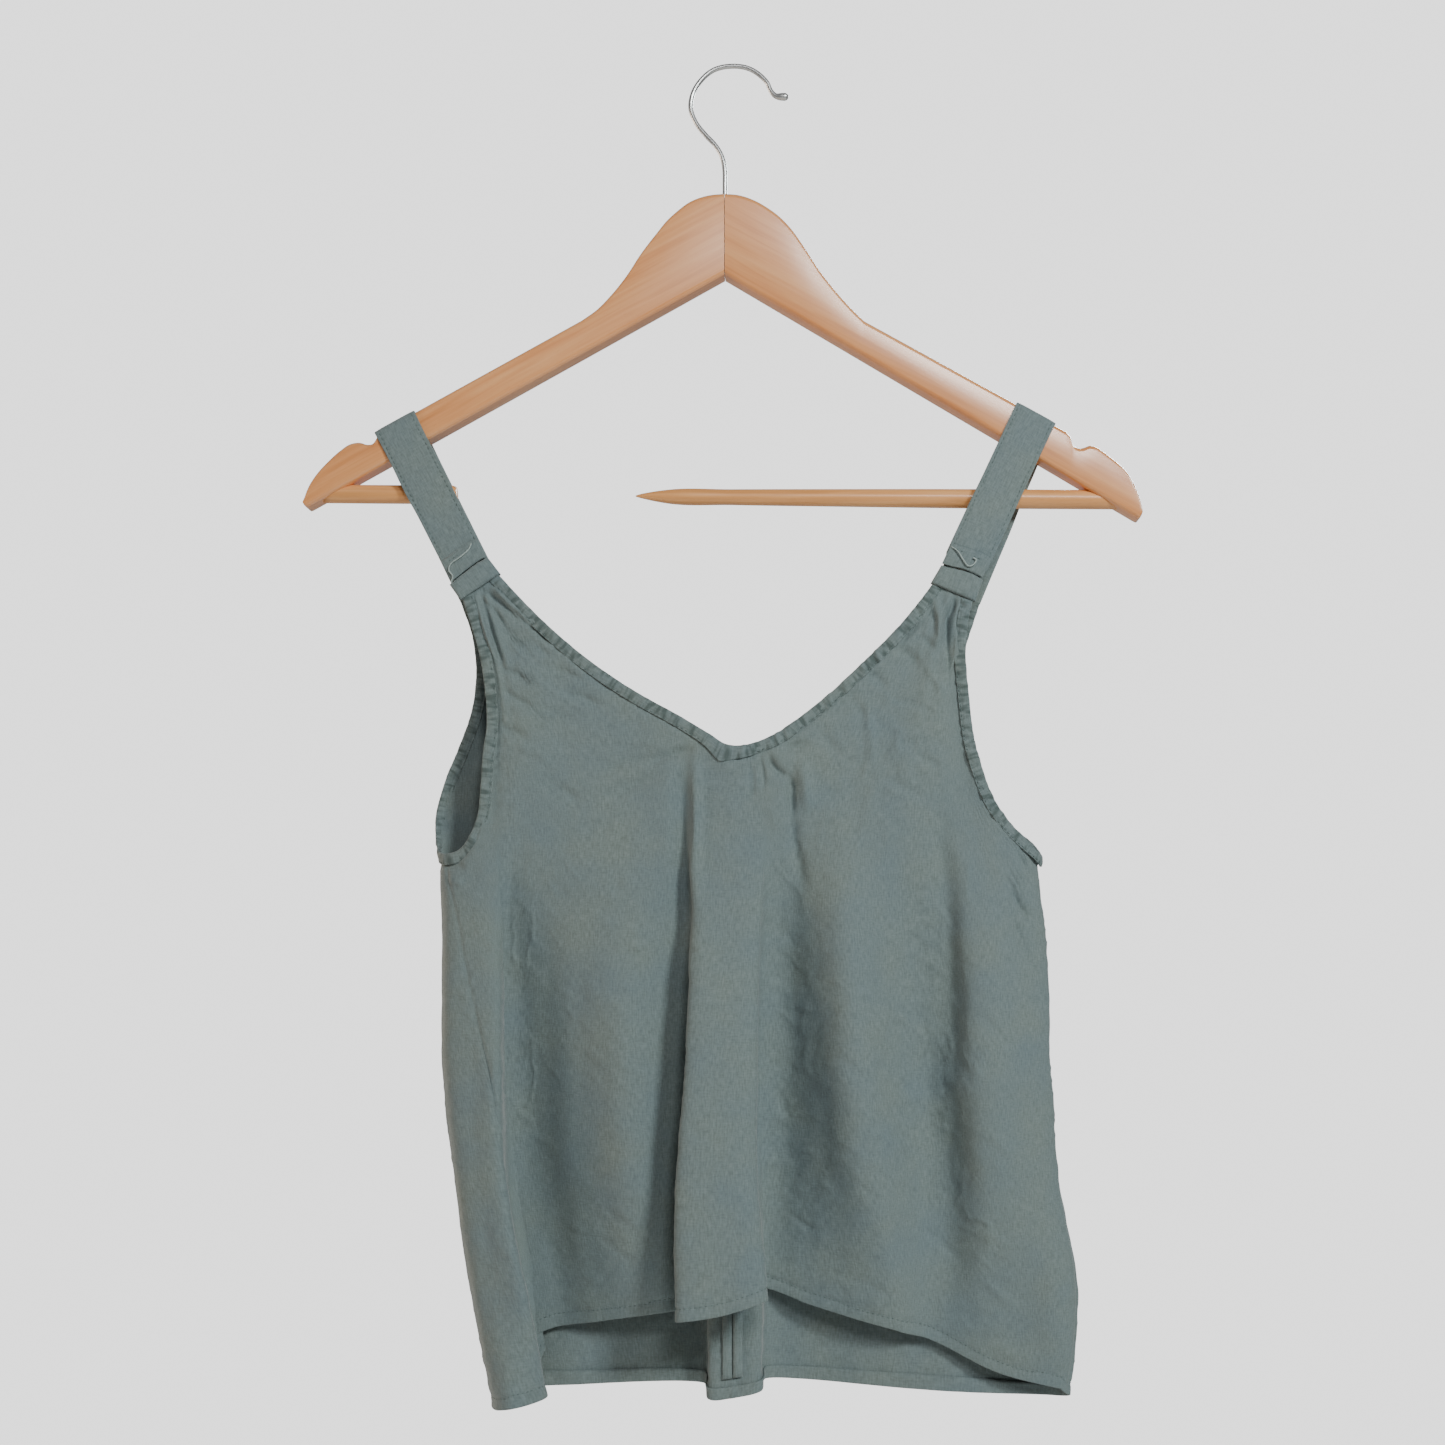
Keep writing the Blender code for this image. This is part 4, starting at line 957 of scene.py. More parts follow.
def panel_top(labels, edges):
    """Top edge of a panel, inside its bindings, and the way that it faces. Each of the edges is a
    table and the turns by which its labels differ from the panel's. Columns that no edge holds
    end under a strap, between their neighbours."""
    top = np.empty((len(labels), 6))
    bound = np.zeros(len(labels), bool)
    for table, turns in edges:
        own = labels - turns * LINES
        inside = (own >= table[0][0] - LABEL_SLACK) & (own <= table[-1][0] + LABEL_SLACK)
        top[inside] = np.concatenate(edge(table, own[inside], TUCK), axis=1)
        bound |= inside
    for axis in range(6):
        top[~bound, axis] = np.interp(labels[~bound], labels[bound], top[bound, axis])
    return top[:, :3], unit(top[:, 3:])


def clear_of_armhole(grid, labels, table):
    """Columns beside an armhole bend round its narrowest place, in their order, so that none of
    them crosses its edge. The labels are the table's own."""
    first, last = max(table[0][0], labels[0]), min(table[-1][0], labels[-1])
    sample = np.linspace(first, last, EDGE_SAMPLES)
    points, _ = edge(table, sample, TUCK)
    rising = np.argsort(points[:, 2])
    z = grid[..., 2]
    edge_x = np.interp(z, points[rising, 2], points[rising, 0])
    edge_label = np.interp(z, points[rising, 2], sample[rising])
    side = np.sign(table[0][1])
    out = side * grid[..., 0]
    limit = side * edge_x - COLUMN_SPACING * np.abs(labels[:, None] - edge_label)
    drop = grid[:, :1, 2] - z
    soft = np.minimum(COLUMN_SOFTNESS * drop, COLUMN_SPACING)
    bent = (out + limit - np.sqrt((out - limit) ** 2 + soft**2)) / 2
    weight = np.clip((z - LEVELS[0]) / ARMHOLE_FADE, 0, 1)
    grid[..., 0] += side * weight * (bent - out)
    return grid


def panel_normals(grid, labels, edges, place):
    """The way out of the cloth at each point. Two panels find the same one along the seam that
    they share, and so do a panel and its binding."""
    along = np.gradient(grid, axis=0)
    for column in (0, -1):
        z = np.minimum(grid[column, :, 2], LEVELS[0])
        seam = place(labels[column], z)
        along[column, :, :2] = body(seam + SEAM_PROBE, z) - body(seam - SEAM_PROBE, z)
        along[column, :, 2] = 0
    normal = unit(np.cross(np.gradient(grid, axis=1), along))
    _, faces = panel_top(labels, edges)
    drop = grid[:, :1, 2] - grid[..., 2]
    weight = np.clip(drop / YOKE_BLEND, 0, 1) * np.clip((YOKE_END - grid[..., 2]) / YOKE_BLEND, 0, 1)
    weight = weight[..., None]
    return unit(normal * weight + faces[:, None] * (1 - weight))


def surface(labels, z, top, place):
    """Points at heights z of each column. Above the armhole level a column is a cubic that leaves
    the edge unbent and joins the body's own slope."""
    level = LEVELS[0]
    columns = np.broadcast_to(labels[:, None], z.shape)
    below = np.minimum(z, level)
    xy = body(place(columns, below), below)
    at_level = body(place(labels, level), level)
    slope = at_level - body(place(labels, level - 1.0), level - 1.0)
    height = (top[:, 2] - level)[:, None]
    t = np.clip((top[:, 2][:, None] - z) / height, 0, 1)[..., None]
    start, end = top[:, None, :2], at_level[:, None, :]
    end_slope = -slope[:, None, :] * height[..., None]
    yoke = hermite(t, start, end, 1.5 * (end - start) - 0.5 * end_slope, end_slope)
    xy = np.where((z > level)[..., None], yoke, xy)
    return np.concatenate([xy, z[..., None]], axis=-1)


def gathered(grid, labels, corners):
    """Gathers under a strap's band: waves across that fade out down the cloth."""
    first, last = corners
    across = np.clip((labels - first) / (last - first), 0, 1)
    inside = (labels > first) & (labels < last)
    wave = np.where(inside, np.sin(2 * math.pi * GATHERS * across) * np.sin(math.pi * across), 0)
    drop = grid[:, :1, 2] - grid[:, :, 2] - GATHER_START
    reach = np.exp(-np.maximum(drop, 0) / GATHER_REACH) * np.clip(drop / GATHER_RISE, 0, 1)
    grid[..., 1] += FRONT_GATHER * wave[:, None] * reach
    return grid


def smooth(table, steps):
    """More points on a smooth curve through a table's rows."""
    rows = np.array(table, float)
    length = lengths(rows[:, :2])
    at = [np.linspace(a, b, steps, endpoint=False) for a, b in zip(length[:-1], length[1:])]
    return glide(length, rows, np.concatenate(at + [length[-1:]]))


def lattice(cells, seed):
    """A repeatable number from -1 to 1 for each whole-number place."""
    cells = cells.astype(np.int64).astype(np.uint32)
    mixed = cells[..., 0] * np.uint32(374761393) + cells[..., 1] * np.uint32(668265263)
    mixed = mixed + cells[..., 2] * np.uint32(2246822519) + np.uint32(seed * 3266489917 % 2**32)
    mixed = (mixed ^ (mixed >> np.uint32(15))) * np.uint32(2654435761)
    mixed = (mixed ^ (mixed >> np.uint32(13))) * np.uint32(3266489917)
    mixed = mixed ^ (mixed >> np.uint32(16))
    return mixed.astype(float) / 2**31 - 1


def wander(points, sizes, seed):
    """Smooth unevenness: numbers on a lattice of the given cell sizes, blended between its eight
    corners by a curve that is level at each of them."""
    place = np.asarray(points, float) / np.array(sizes, float)
    cell = np.floor(place)
    share = eased(place - cell)
    total = np.zeros(place.shape[:-1])
    for corner in np.ndindex(2, 2, 2):
        weight = np.prod(np.where(corner, share, 1 - share), axis=-1)
        total += weight * lattice(cell + np.array(corner), seed)
    return total


def turned(points, degrees):
    """Points turned about the depth axis, so that a stretched lattice lies at a slant."""
    angle = math.radians(degrees)
    across = points[..., 0] * math.cos(angle) - points[..., 2] * math.sin(angle)
    rise = points[..., 0] * math.sin(angle) + points[..., 2] * math.cos(angle)
    return np.stack([across, points[..., 1], rise], axis=-1)


def uneven(points, layers, seed=0):
    """Layers of smooth unevenness on top of each other, at seeds counted from the given one."""
    return sum(
        depth * wander(turned(points, slant), cells, seed + own)
        for depth, slant, cells, own in layers
    )


def crumple(points):
    """The small uneven creases of washed linen: soft dents, and thin ridges at four slants that
    come and go."""
    total = uneven(points, SOFT_DENTS)
    scale, lift = PATCH_SPREAD
    for number, (slant, cells, depth) in enumerate(RIDGES):
        line = wander(turned(points, slant), cells, RIDGE_SEED + number)
        line += RIDGE_BEND * wander(points, BEND_CELLS, BEND_SEED + number)
        there = wander(points, PATCH_CELLS, PATCH_SEED + number) * scale + lift
        total += depth * np.clip(there, 0, 1) * bell(line, RIDGE_WIDTH)
    return total


def fine_folds(points):
    """How strongly the cloth is crumpled: most under the straps, and more on the right of the
    front, which hangs in soft diagonal folds."""
    x, z = points[..., 0], points[..., 2]
    right = np.clip((x - RIGHT_START) / RIGHT_FADE, 0, 1) * bell(z - RIGHT_MIDDLE, RIGHT_REACH)
    total = CRUMPLED + CRUMPLED_RIGHT * right
    for x_there, z_there, across, upright in CRUMPLED_MORE:
        total += bell(x - x_there, across) * bell(z - z_there, upright)
    return total


def creases(points, table):
    """Depth of the main creases, each a bell across its line that fades at both ends. Columns of
    the table: x and z of its start, x and z of its end, how far it bows, width, depth."""
    x, z = points[..., 0], points[..., 2]
    total = np.zeros(x.shape)
    for x1, z1, x2, z2, bow, width, depth in table:
        run = np.array([x2 - x1, z2 - z1], float)
        length = np.linalg.norm(run)
        run /= length
        along = ((x - x1) * run[0] + (z - z1) * run[1]) / length
        across = (z - z1) * run[0] - (x - x1) * run[1]
        inside = np.clip(along, 0, 1)
        across = across - bow * 4 * inside * (1 - inside)
        fade = np.clip(np.minimum(along, 1 - along) / CREASE_FADE, 0, 1)
        total += depth * eased(fade) * bell(across, width)
    return total


def between(labels, first, last, soft):
    """1 between two labels, fading to 0 outside them."""
    return np.clip((labels - first) / soft, 0, 1) * np.clip((last - labels) / soft, 0, 1)


def quads_of(index):
    """Corner numbers of the faces between the rows and columns of a grid."""
    corners = (index[:-1, :-1], index[:-1, 1:], index[1:, 1:], index[1:, :-1])
    return np.stack([corner.reshape(-1) for corner in corners], axis=-1)


def fabric(name, grid, normal, uv, finish):
    """An open sheet from a grid of points, its faces turned to its normals."""
    columns, rows = grid.shape[:2]
    index = np.arange(columns * rows).reshape(columns, rows)
    quads = quads_of(index)
    points = grid.reshape(-1, 3)
    a, b, c = points[quads[:, 0]], points[quads[:, 1]], points[quads[:, 2]]
    agree = (np.cross(b - a, c - a) * normal.reshape(-1, 3)[quads[:, 0]]).sum()
    if agree < 0:
        quads = quads[:, ::-1]
    return piece(name, points, quads, finish, uv.reshape(-1, 2))


def piece(name, points, faces, finish, uv=None, closed=False, sharp_edges=None):
    """A mesh piece of the object from points in millimetres, smooth, riding on its body."""
    mesh = bpy.data.meshes.new(name)
    mesh.from_pydata(np.asarray(points) * MM, [], [list(map(int, face)) for face in faces])
    if uv is not None:
        layer = mesh.uv_layers.new(name=UV_NAME)
        corners = np.empty(len(mesh.loops), np.int32)
        mesh.loops.foreach_get("vertex_index", corners)
        layer.data.foreach_set("uv", (np.asarray(uv)[corners] * MM).astype(np.float32).reshape(-1))
    if closed:
        shape = bmesh.new()
        shape.from_mesh(mesh)
        bmesh.ops.recalc_face_normals(shape, faces=shape.faces)
        shape.to_mesh(mesh)
        shape.free()
    mesh.shade_smooth()
    if sharp_edges:
        mesh.set_sharp_from_angle(angle=math.radians(sharp_edges))
    mesh.materials.append(finish)
    made = bpy.data.objects.new(name, mesh)
    bpy.context.scene.collection.objects.link(made)
    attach(made, "root")
    return made


def loops_piece(name, loops, finish, uv=None, ring=False, sharp_edges=None):
    """A closed piece from loops of points, each joined to the next, with a face over each end, or
    joined round from the last to the first."""
    loops = np.asarray(loops, float)
    count, sides = loops.shape[:2]
    index = np.arange(count * sides).reshape(count, sides)
    caps = [] if ring else [index[0][::-1].tolist(), index[-1].tolist()]
    if ring:
        index = np.concatenate([index, index[:1]])
    after = np.roll(index, -1, axis=1)
    quads = np.stack([index[:-1], after[:-1], after[1:], index[1:]], axis=-1).reshape(-1, 4)
    uv = loop_uv(loops) if uv is None else uv
    points = loops.reshape(-1, 3)
    faces = quads.tolist() + caps
    return piece(name, points, faces, finish, uv.reshape(-1, 2), True, sharp_edges)


def loop_uv(loops):
    """Length round a swept piece and along it."""
    steps = np.linalg.norm(np.roll(loops, -1, axis=1) - loops, axis=-1).mean(axis=0)
    around = np.concatenate([[0.0], np.cumsum(steps)[:-1]])
    along = lengths(loops.mean(axis=1))
    return np.stack(np.broadcast_arrays(around[None, :], along[:, None]), axis=-1)


def sheet_uv(grid):
    """Cloth coordinates of a panel: length along a row about half way down, and height."""
    along = lengths(grid[:, int(grid.shape[1] * UV_ROW)])
    return np.stack(np.broadcast_arrays(along[:, None], grid[..., 2]), axis=-1)


def panel(labels, edges, hem, place, rows, corners=()):
    """Middle surface of a panel from its bindings to its hem, and the way that it faces."""
    top, _ = panel_top(labels, edges)
    hem = np.array(hem, float)
    hem_z = glide(hem[:, 0], hem[:, 1], labels)[:, 0]
    share = np.linspace(0, 1, rows)
    z = top[:, None, 2] + share * (hem_z - top[:, 2])[:, None]
    grid = surface(labels, z, top, place)
    for table, turns in edges:
        if table in (ARMHOLE_LEFT, ARMHOLE_RIGHT):
            grid = clear_of_armhole(grid, labels - turns * LINES, table)
    for pair in corners:
        grid = gathered(grid, labels, pair)
    normal = panel_normals(grid, labels, edges, place)
    return grid, normal, hem_z


def hemmed(grid, normal, hem_z):
    """The panel's outer face, turned over at the hem and up its inside, with the uneven dents
    that the hem's stitching draws in."""
    rise = grid[..., 2] - hem_z[:, None] - HEM_STITCH
    relief = HEM_PULL * uneven(grid, HEM_PUCKERS) * np.exp(-np.abs(rise) / HEM_PULL_REACH)
    relief -= STITCH_DENT * bell(rise, STITCH_DENT_WIDTH)
    grid = grid + normal * (CLOTH_HALF + relief)[..., None]
    turn = []
    for share in HEM_BEND:
        swing = math.pi * share
        drop = np.array([0, 0, HEM_DEPTH / 2 * math.sin(swing)])
        depth = HEM_DEPTH / 2 * (1 - math.cos(swing))
        turn.append(grid[:, -1] - normal[:, -1] * depth - drop)
    for step in range(HEM_TURN_ROWS):
        turn.append(grid[:, -1 - step] - normal[:, -1 - step] * HEM_DEPTH)
    turn.append(grid[:, -HEM_TURN_ROWS] - normal[:, -HEM_TURN_ROWS] * HEM_END_DEPTH)
    return np.concatenate([grid, np.stack(turn, axis=1)], axis=1)


def seam_dent(grid, column):
    """A groove along a seam, from how far each point lies from that column."""
    away = np.linalg.norm(grid - grid[column][None], axis=-1)
    return -SEAM_DENT * bell(away, SEAM_DENT_WIDTH)


def stitches(name, path, facing, finish, sizes):
    """A row of sewn stitches: short thick threads, pointed at both ends, that sit half sunk along
    a path at an even pitch."""
    pitch, length, radius = sizes
    reach = lengths(path)
    middles = np.arange(pitch, reach[-1] - pitch, pitch)
    rings = len(STITCH_SWELL)
    at = middles[:, None] + np.linspace(-0.5, 0.5, rings) * length
    places, faces = sampled(at, reach, path), sampled(at, reach, facing)
    run = unit(places[:, -1] - places[:, 0])[:, None]
    side = unit(np.cross(faces, run))
    swell = np.array(STITCH_SWELL)[None, :, None]
    rise = np.array(STITCH_RISE)[None, :, None] * radius
    angle = np.linspace(0, 2 * math.pi, STITCH_SIDES, endpoint=False)[:, None]
    ring = np.cos(angle) * side[..., None, :] + np.sin(angle) * faces[..., None, :]
    loops = (places + faces * rise)[:, :, None] + ring * (radius * swell)[..., None]
    index = np.arange(len(middles) * rings * STITCH_SIDES).reshape(-1, rings, STITCH_SIDES)
    after = np.roll(index, -1, axis=2)
    quads = np.stack([index[:, :-1], after[:, :-1], after[:, 1:], index[:, 1:]], axis=-1)
    caps = np.concatenate([index[:, 0, ::-1], index[:, -1]]).tolist()
    faces = quads.reshape(-1, 4).tolist() + caps
    return piece(name, loops.reshape(-1, 3), faces, finish, None, True)


def make_panels(linen, thread):
    """The front and the two halves of the back."""
    labels = panel_labels(SEAM_LEFT, SEAM_RIGHT, FRONT_FINER)
    edges = ((ARMHOLE_LEFT, 0), (NECK_FRONT, 0), (ARMHOLE_RIGHT, 0))
    corners = (
        (ARMHOLE_LEFT[-1][0], NECK_FRONT[0][0]),
        (NECK_FRONT[-1][0], ARMHOLE_RIGHT[0][0]),
    )
    grid, normal, hem_z = panel(labels, edges, FRONT_HEM, front_place, FRONT_ROWS, corners)
    grid[..., 0] -= sum(undercut(grid, labels, *row) for row in UNDERCUTS)
    main = between(labels, *MAIN_LABELS, PANEL_FADE)[:, None]
    strip = between(labels, *STRIP_LABELS, PANEL_FADE)[:, None]
    folds = main * creases(grid, FRONT_CREASES) + strip * creases(grid, STRIP_CREASES)
    shape = (grid, normal, hem_z, folds, labels, edges)
    front, _ = make_panel("front_cloth", shape, linen, thread)
    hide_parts("front_panel")
    halves = (
        ("right", SEAM_RIGHT, CENTRE_BACK, ((ARMHOLE_RIGHT, 0), (NECK_BACK, 0)), -1),
        ("left", CENTRE_BACK, SEAM_LEFT_FROM_BACK, ((NECK_BACK, 0), (ARMHOLE_LEFT, 1)), 0),
    )
    for name, start, end, edges, seam in halves:
        labels = panel_labels(start, end, BACK_FINER)
        grid, normal, hem_z = panel(labels, edges, BACK_HEM, back_place, BACK_ROWS)
        strip = between(labels - LINES, *STRIP_LABELS, PANEL_FADE)[:, None]
        folds = (1 - strip) * creases(grid, BACK_CREASES) + strip * creases(grid, STRIP_CREASES)
        shape = (grid, normal, hem_z, folds, labels, edges)
        back, grid = make_panel("back_cloth_" + name, shape, linen, thread)
        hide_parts("back_panel_" + name)
        make_allowance(name, grid, normal, seam, linen)


def undercut(grid, labels, first, last, reach):
    """How far the right wall of a fold goes back under its edge, so that the front view goes
    straight from the edge into the valley: a smooth step up after the first label, and one down
    before the last."""
    share = eased(np.clip((labels - first) / UNDERCUT_STEP, 0, 1)) * eased(np.clip(last - labels, 0, 1))
    deep = np.clip((UNDERCUT_START - grid[..., 2]) / UNDERCUT_FADE, 0, 1)
    return reach * share[:, None] * deep


def ditch(grid, labels, edges):
    """A groove in the cloth along the inner edge of its bindings."""
    bound = np.zeros(len(labels))
    for table, turns in edges:
        own = labels - turns * LINES
        bound = np.maximum(bound, (own > table[0][0]) & (own < table[-1][0]))
    top = np.linalg.norm(grid - grid[:, :1], axis=-1)
    return -DITCH_DEPTH * bound[:, None] * bell(top - TUCK - DITCH_PLACE, DITCH_WIDTH)


def calm(grid, hem_z):
    """Creases die away towards the bound edges and the stitched hem."""
    top = np.linalg.norm(grid - grid[:, :1], axis=-1)
    return faded(top, *CALM_TOP) * faded(grid[..., 2] - hem_z[:, None], *CALM_HEM)


def make_panel(name, shape, linen, thread):
    """A panel with its creases and grooves, its turned hem and the hem's row of stitches, and its
    outer points without the hem."""
    grid, normal, hem_z, folds, labels, edges = shape
    relief = (fine_folds(grid) * crumple(grid) + folds) * calm(grid, hem_z)
    relief += seam_dent(grid, 0) + seam_dent(grid, -1) + ditch(grid, labels, edges)
    uv = sheet_uv(grid)
    grid = grid + normal * relief[..., None]
    whole = hemmed(grid, normal, hem_z)
    extra = whole.shape[1] - grid.shape[1]
    hem_rows = np.arange(1, extra + 1)[None, :, None] * (0, HEM_ROW_PITCH)
    uv = np.concatenate([uv, uv[:, -1:] - hem_rows], axis=1)
    facing = np.concatenate([normal, np.repeat(normal[:, -1:], extra, axis=1)], axis=1)
    row = np.abs(grid[..., 2] - hem_z[:, None] - HEM_STITCH).argmin(axis=1)
    every = np.arange(len(row))
    seat, faces = whole[every, row], normal[every, row]
    stitches(name + "_hem_stitches", seat, faces, thread, HEM_STITCHES)
    return fabric(name, whole, facing, uv, linen), grid


def make_allowance(name, grid, normal, seam, linen):
    """The raw allowance beside the centre back seam, pressed to its own side on the inside."""
    neighbour = ALLOWANCE_COLUMN if seam == 0 else -1 - ALLOWANCE_COLUMN
    rows = slice(0, -ALLOWANCE_SHORT)
    first, second = grid[seam, rows], grid[neighbour, rows]
    run = (second - first) / np.linalg.norm(second - first, axis=-1, keepdims=True)
    fray = uneven(first, ALLOWANCE_FRAY)[:, None]
    lift = uneven(first, ALLOWANCE_CURL)[:, None]
    loops = []
    for reach, depth in ALLOWANCE:
        point = first + (reach + fray * (reach > FRAYED_FROM)) * run
        loops.append(point - (depth + lift * (reach > CURLED_FROM)) * normal[seam, rows])
    made = loops_piece("allowance_" + name, np.stack(loops, axis=1)[::2], linen)
    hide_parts("seam_allowance_" + name)


def make_binding(name, table, node, tightness, more, seed, seam, thread):
    """A folded strip along a finished edge: a flat rounded section carried along it, drawn into
    slanting puckers by its stitching. The front neck's comes to a point on its inner side."""
    rows = np.array(table, float)
    knots = lengths(rows[:, 1:4])
    along = np.linspace(0, knots[-1], int(knots[-1] / BINDING_PITCH))
    labels = np.interp(along, knots, rows[:, 0])
    outer, faces = edge(table, labels)
    inward = unit(edge(table, labels, BINDING_WIDTH)[0] - outer)
    across, depth = rounded(*BINDING_SECTION)
    slanted = along[:, None] + PUCKER_SLANT * across
    pinch = uneven(np.stack([slanted, 0 * slanted, 0 * slanted], axis=-1), PINCHES, seed)
    x = outer[:, :1]
    start, over = PUCKER_START
    middle, spread_out = PUCKER_MIDDLE
    right = np.clip((x - start) / over, 0, 1) * bell(x - middle, spread_out)
    pinch = pinch * (tightness + more * right)
    half = BINDING_WIDTH / 2
    reach = half * (1 + across * (1 + PUCKER_WIDTH * pinch))
    if table is NECK_FRONT:
        away, length = NECK_POINT
        point = np.exp(-np.abs(x - away) / POINT_SOFTNESS)
        reach = reach + np.clip(across, 0, 1) * length * point
    loops = outer[:, None] + inward[:, None] * reach[..., None]
    plain, pinched, outwards, least, most = PUCKER_THICK
    swell = np.clip(plain + pinch * (pinched + outwards * across), least, most)
    deep, wide = BINDING_GROOVE
    groove = deep * bell(across * half - BINDING_SEAT, wide)
    rise = BINDING_HALF * depth * swell - np.sign(depth) * groove
    loops = loops + faces[:, None] * rise[..., None]
    # The binding's finish has painted shade in streaks between its puckers
    made = loops_piece(name, loops, seam)
    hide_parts(node)
    seat = outer + inward * (half + BINDING_SEAT) + faces * STITCH_LIFT
    stitches(name + "_stitches", seat, faces, thread, BINDING_STITCHES)


def strap_path(name, strap):
    """Middle line of a strap, the way across it and its width, from its front end over the arm to
    its back end."""
    (high, high_z), (low, low_z) = ARMS[name]["shoulder"][-1], ARMS[name]["end"][0]
    slope = (low_z - high_z) / (low - high)
    right = unit(np.array([1.0, 0.0, slope]))
    up = np.array([-right[2], 0.0, right[0]])
    contact = np.array([strap["over"], 0.0, high_z + slope * (strap["over"] - high)])
    rise = SEAM_GAP + STRAP_WALL / 2
    bend = ARM_THICKNESS / 2 + rise - BEND_RADIUS
    angle = np.linspace(0, math.pi / 2, BEND_STEPS + 1)
    height = rise - BEND_RADIUS + BEND_RADIUS * np.sin(angle)
    depth = bend + BEND_RADIUS * np.cos(angle)
    height = np.concatenate([height, height[::-1]])[:, None]
    depth = np.concatenate([-depth, depth[::-1]])[:, None]
    over = contact + up * height + np.array([0.0, 1.0, 0.0]) * depth
    share = np.array(STRAP_SHARES)[:, None]
    ends = (("front", over[0]), ("back", over[-1]))
    front, back = (np.array(strap[end]) * (1 - share) + top * share for end, top in ends)
    front_across, back_across = (
        np.array(strap[end + "_across"]) * (1 - share) + right * share for end, _ in ends
    )
    middle = np.concatenate([front, over, back[::-1]])
    across = np.concatenate([front_across, np.broadcast_to(right, over.shape), back_across[::-1]])
    width = np.full(len(middle), STRAP_WIDTH)
    width[: len(front)] = np.interp(STRAP_SHARES, STRAP_SHARES[1:3], (STRAP_END_WIDTH, STRAP_WIDTH))
    reach = lengths(middle)
    at = np.linspace(0, reach[-1], int(reach[-1] / STRAP_PITCH))
    found = sampled(at, reach, np.concatenate([middle, across, width[:, None]], axis=1))
    line, line_across = found[:, :3], unit(found[:, 3:6])
    normal = unit(np.cross(line_across, unit(np.gradient(line, axis=0))))
    return line, line_across, normal, found[:, 6], at


def make_straps(linen, thread, loose):
    """A doubled strip with rounded, stitched sides that goes over each arm."""
    for number, (name, strap) in enumerate(STRAPS.items()):
        line, across, normal, width, at = strap_path(name, strap)
        tail = line[-1] + unit(line[-1] - line[-2]) * STRAP_TUCK
        line = np.concatenate([line, [tail]])
        across, normal = (np.concatenate([rows, rows[-1:]]) for rows in (across, normal))
        width, at = np.append(width, width[-1]), np.append(at, at[-1] + STRAP_TUCK)
        side, depth = rounded(*STRAP_SECTION)
        wavy = uneven(np.stack([at, 0 * at, 0 * at], axis=-1), STRAP_WAVER, number)[:, None]
        reach = side * (width[:, None] / 2 - STRAP_MARGIN + wavy)
        spot = line[:, None] + across[:, None] * reach[..., None]
        dents = STRAP_DENTING * uneven(spot, STRAP_DENTS) * free(line)[:, None] * (np.abs(side) < RIM)
        deep, wide = STRAP_GROOVE
        groove = deep * bell(width[:, None] / 2 - np.abs(reach) - STRAP_SEAT, wide)
        rise = depth * (STRAP_HALF - groove) + dents
        loops = spot + normal[:, None] * rise[..., None]
        made = loops_piece("strap_cloth_" + name, loops, linen)
        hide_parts("strap_" + name)
        for turn, way in (("left", -1), ("right", 1)):
            seat = line + across * (way * (width / 2 - STRAP_SEAT))[:, None] + normal * STITCH_LIFT
            stitches(f"strap_{name}_stitches_{turn}", seat, normal, thread, STRAP_STITCHES)
        make_band(name, strap, linen, loose)
        make_tab(name, strap, line, normal[0], linen, thread)


def free(line):
    """Dents in a strap fade where it lies on the arm."""
    return faded(np.abs(line[:, 2] - line[:, 2].max()), *CALM_ARM)


def sway_of(side, height, radians, start):
    """How far a strap's end wanders up and down across its width, in a soft S."""
    return height * np.sin(radians * side + start)


def make_band(name, strap, linen, loose):
    """The gathered ends' keeper: a flat ring of cloth with a rolled upper and lower edge, and a
    thread end hanging over the place where the strap is sewn on."""
    top, low = np.array(strap["band_top"], float), np.array(strap["band_low"], float)
    side, depth = rounded(*BAND_SECTION)
    way = np.array([0, 1, 0]) * -depth[:, None]
    outer, inner = [], []
    for share in np.linspace(0, 1, END_STEPS):
        left, right = top * (1 - share) + low * share
        sway = np.array([0, 1]) * sway_of(side, *BAND_SWAY)[:, None] * (1 - share)
        flat = (left + right) / 2 + side[:, None] * (right - left) / 2 + sway
        middle = np.stack([flat[:, 0], np.full(len(side), strap["front"][1]), flat[:, 1]], axis=-1)
        roll = (4 * share * (1 - share)) ** BAND_ROLL
        waves = uneven(middle, BAND_WAVES) * (np.abs(side) < RIM)
        thick = BAND_EDGE + (BAND_OUTSIDE - BAND_EDGE + waves) * roll
        outer.append(middle + way * thick[:, None])
        centre = middle.mean(axis=0)
        core = (middle - centre) * np.array([BAND_HOLE, 1, BAND_HOLE]) + centre
        inner.append(core + way * BAND_INSIDE)
    made = loops_piece("band_cloth_" + name, outer + inner[::-1], linen, ring=True)
    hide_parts("band_" + name)
    rows = np.array(strap["thread_end"], float)
    path = glide(np.arange(len(rows)), rows, np.linspace(0, len(rows) - 1, THREAD_STEPS))
    path = np.stack([path[:, 0], strap["front"][1] - path[:, 2], path[:, 1]], axis=-1)
    radii = THREAD_RADIUS + uneven(path, THREAD_WAVER)
    radii[[0, -1]] = THREAD_TIP
    loops_piece("thread_end_" + name, tube_loops(path, radii, THREAD_SIDES, (0, 1, 0)), loose)


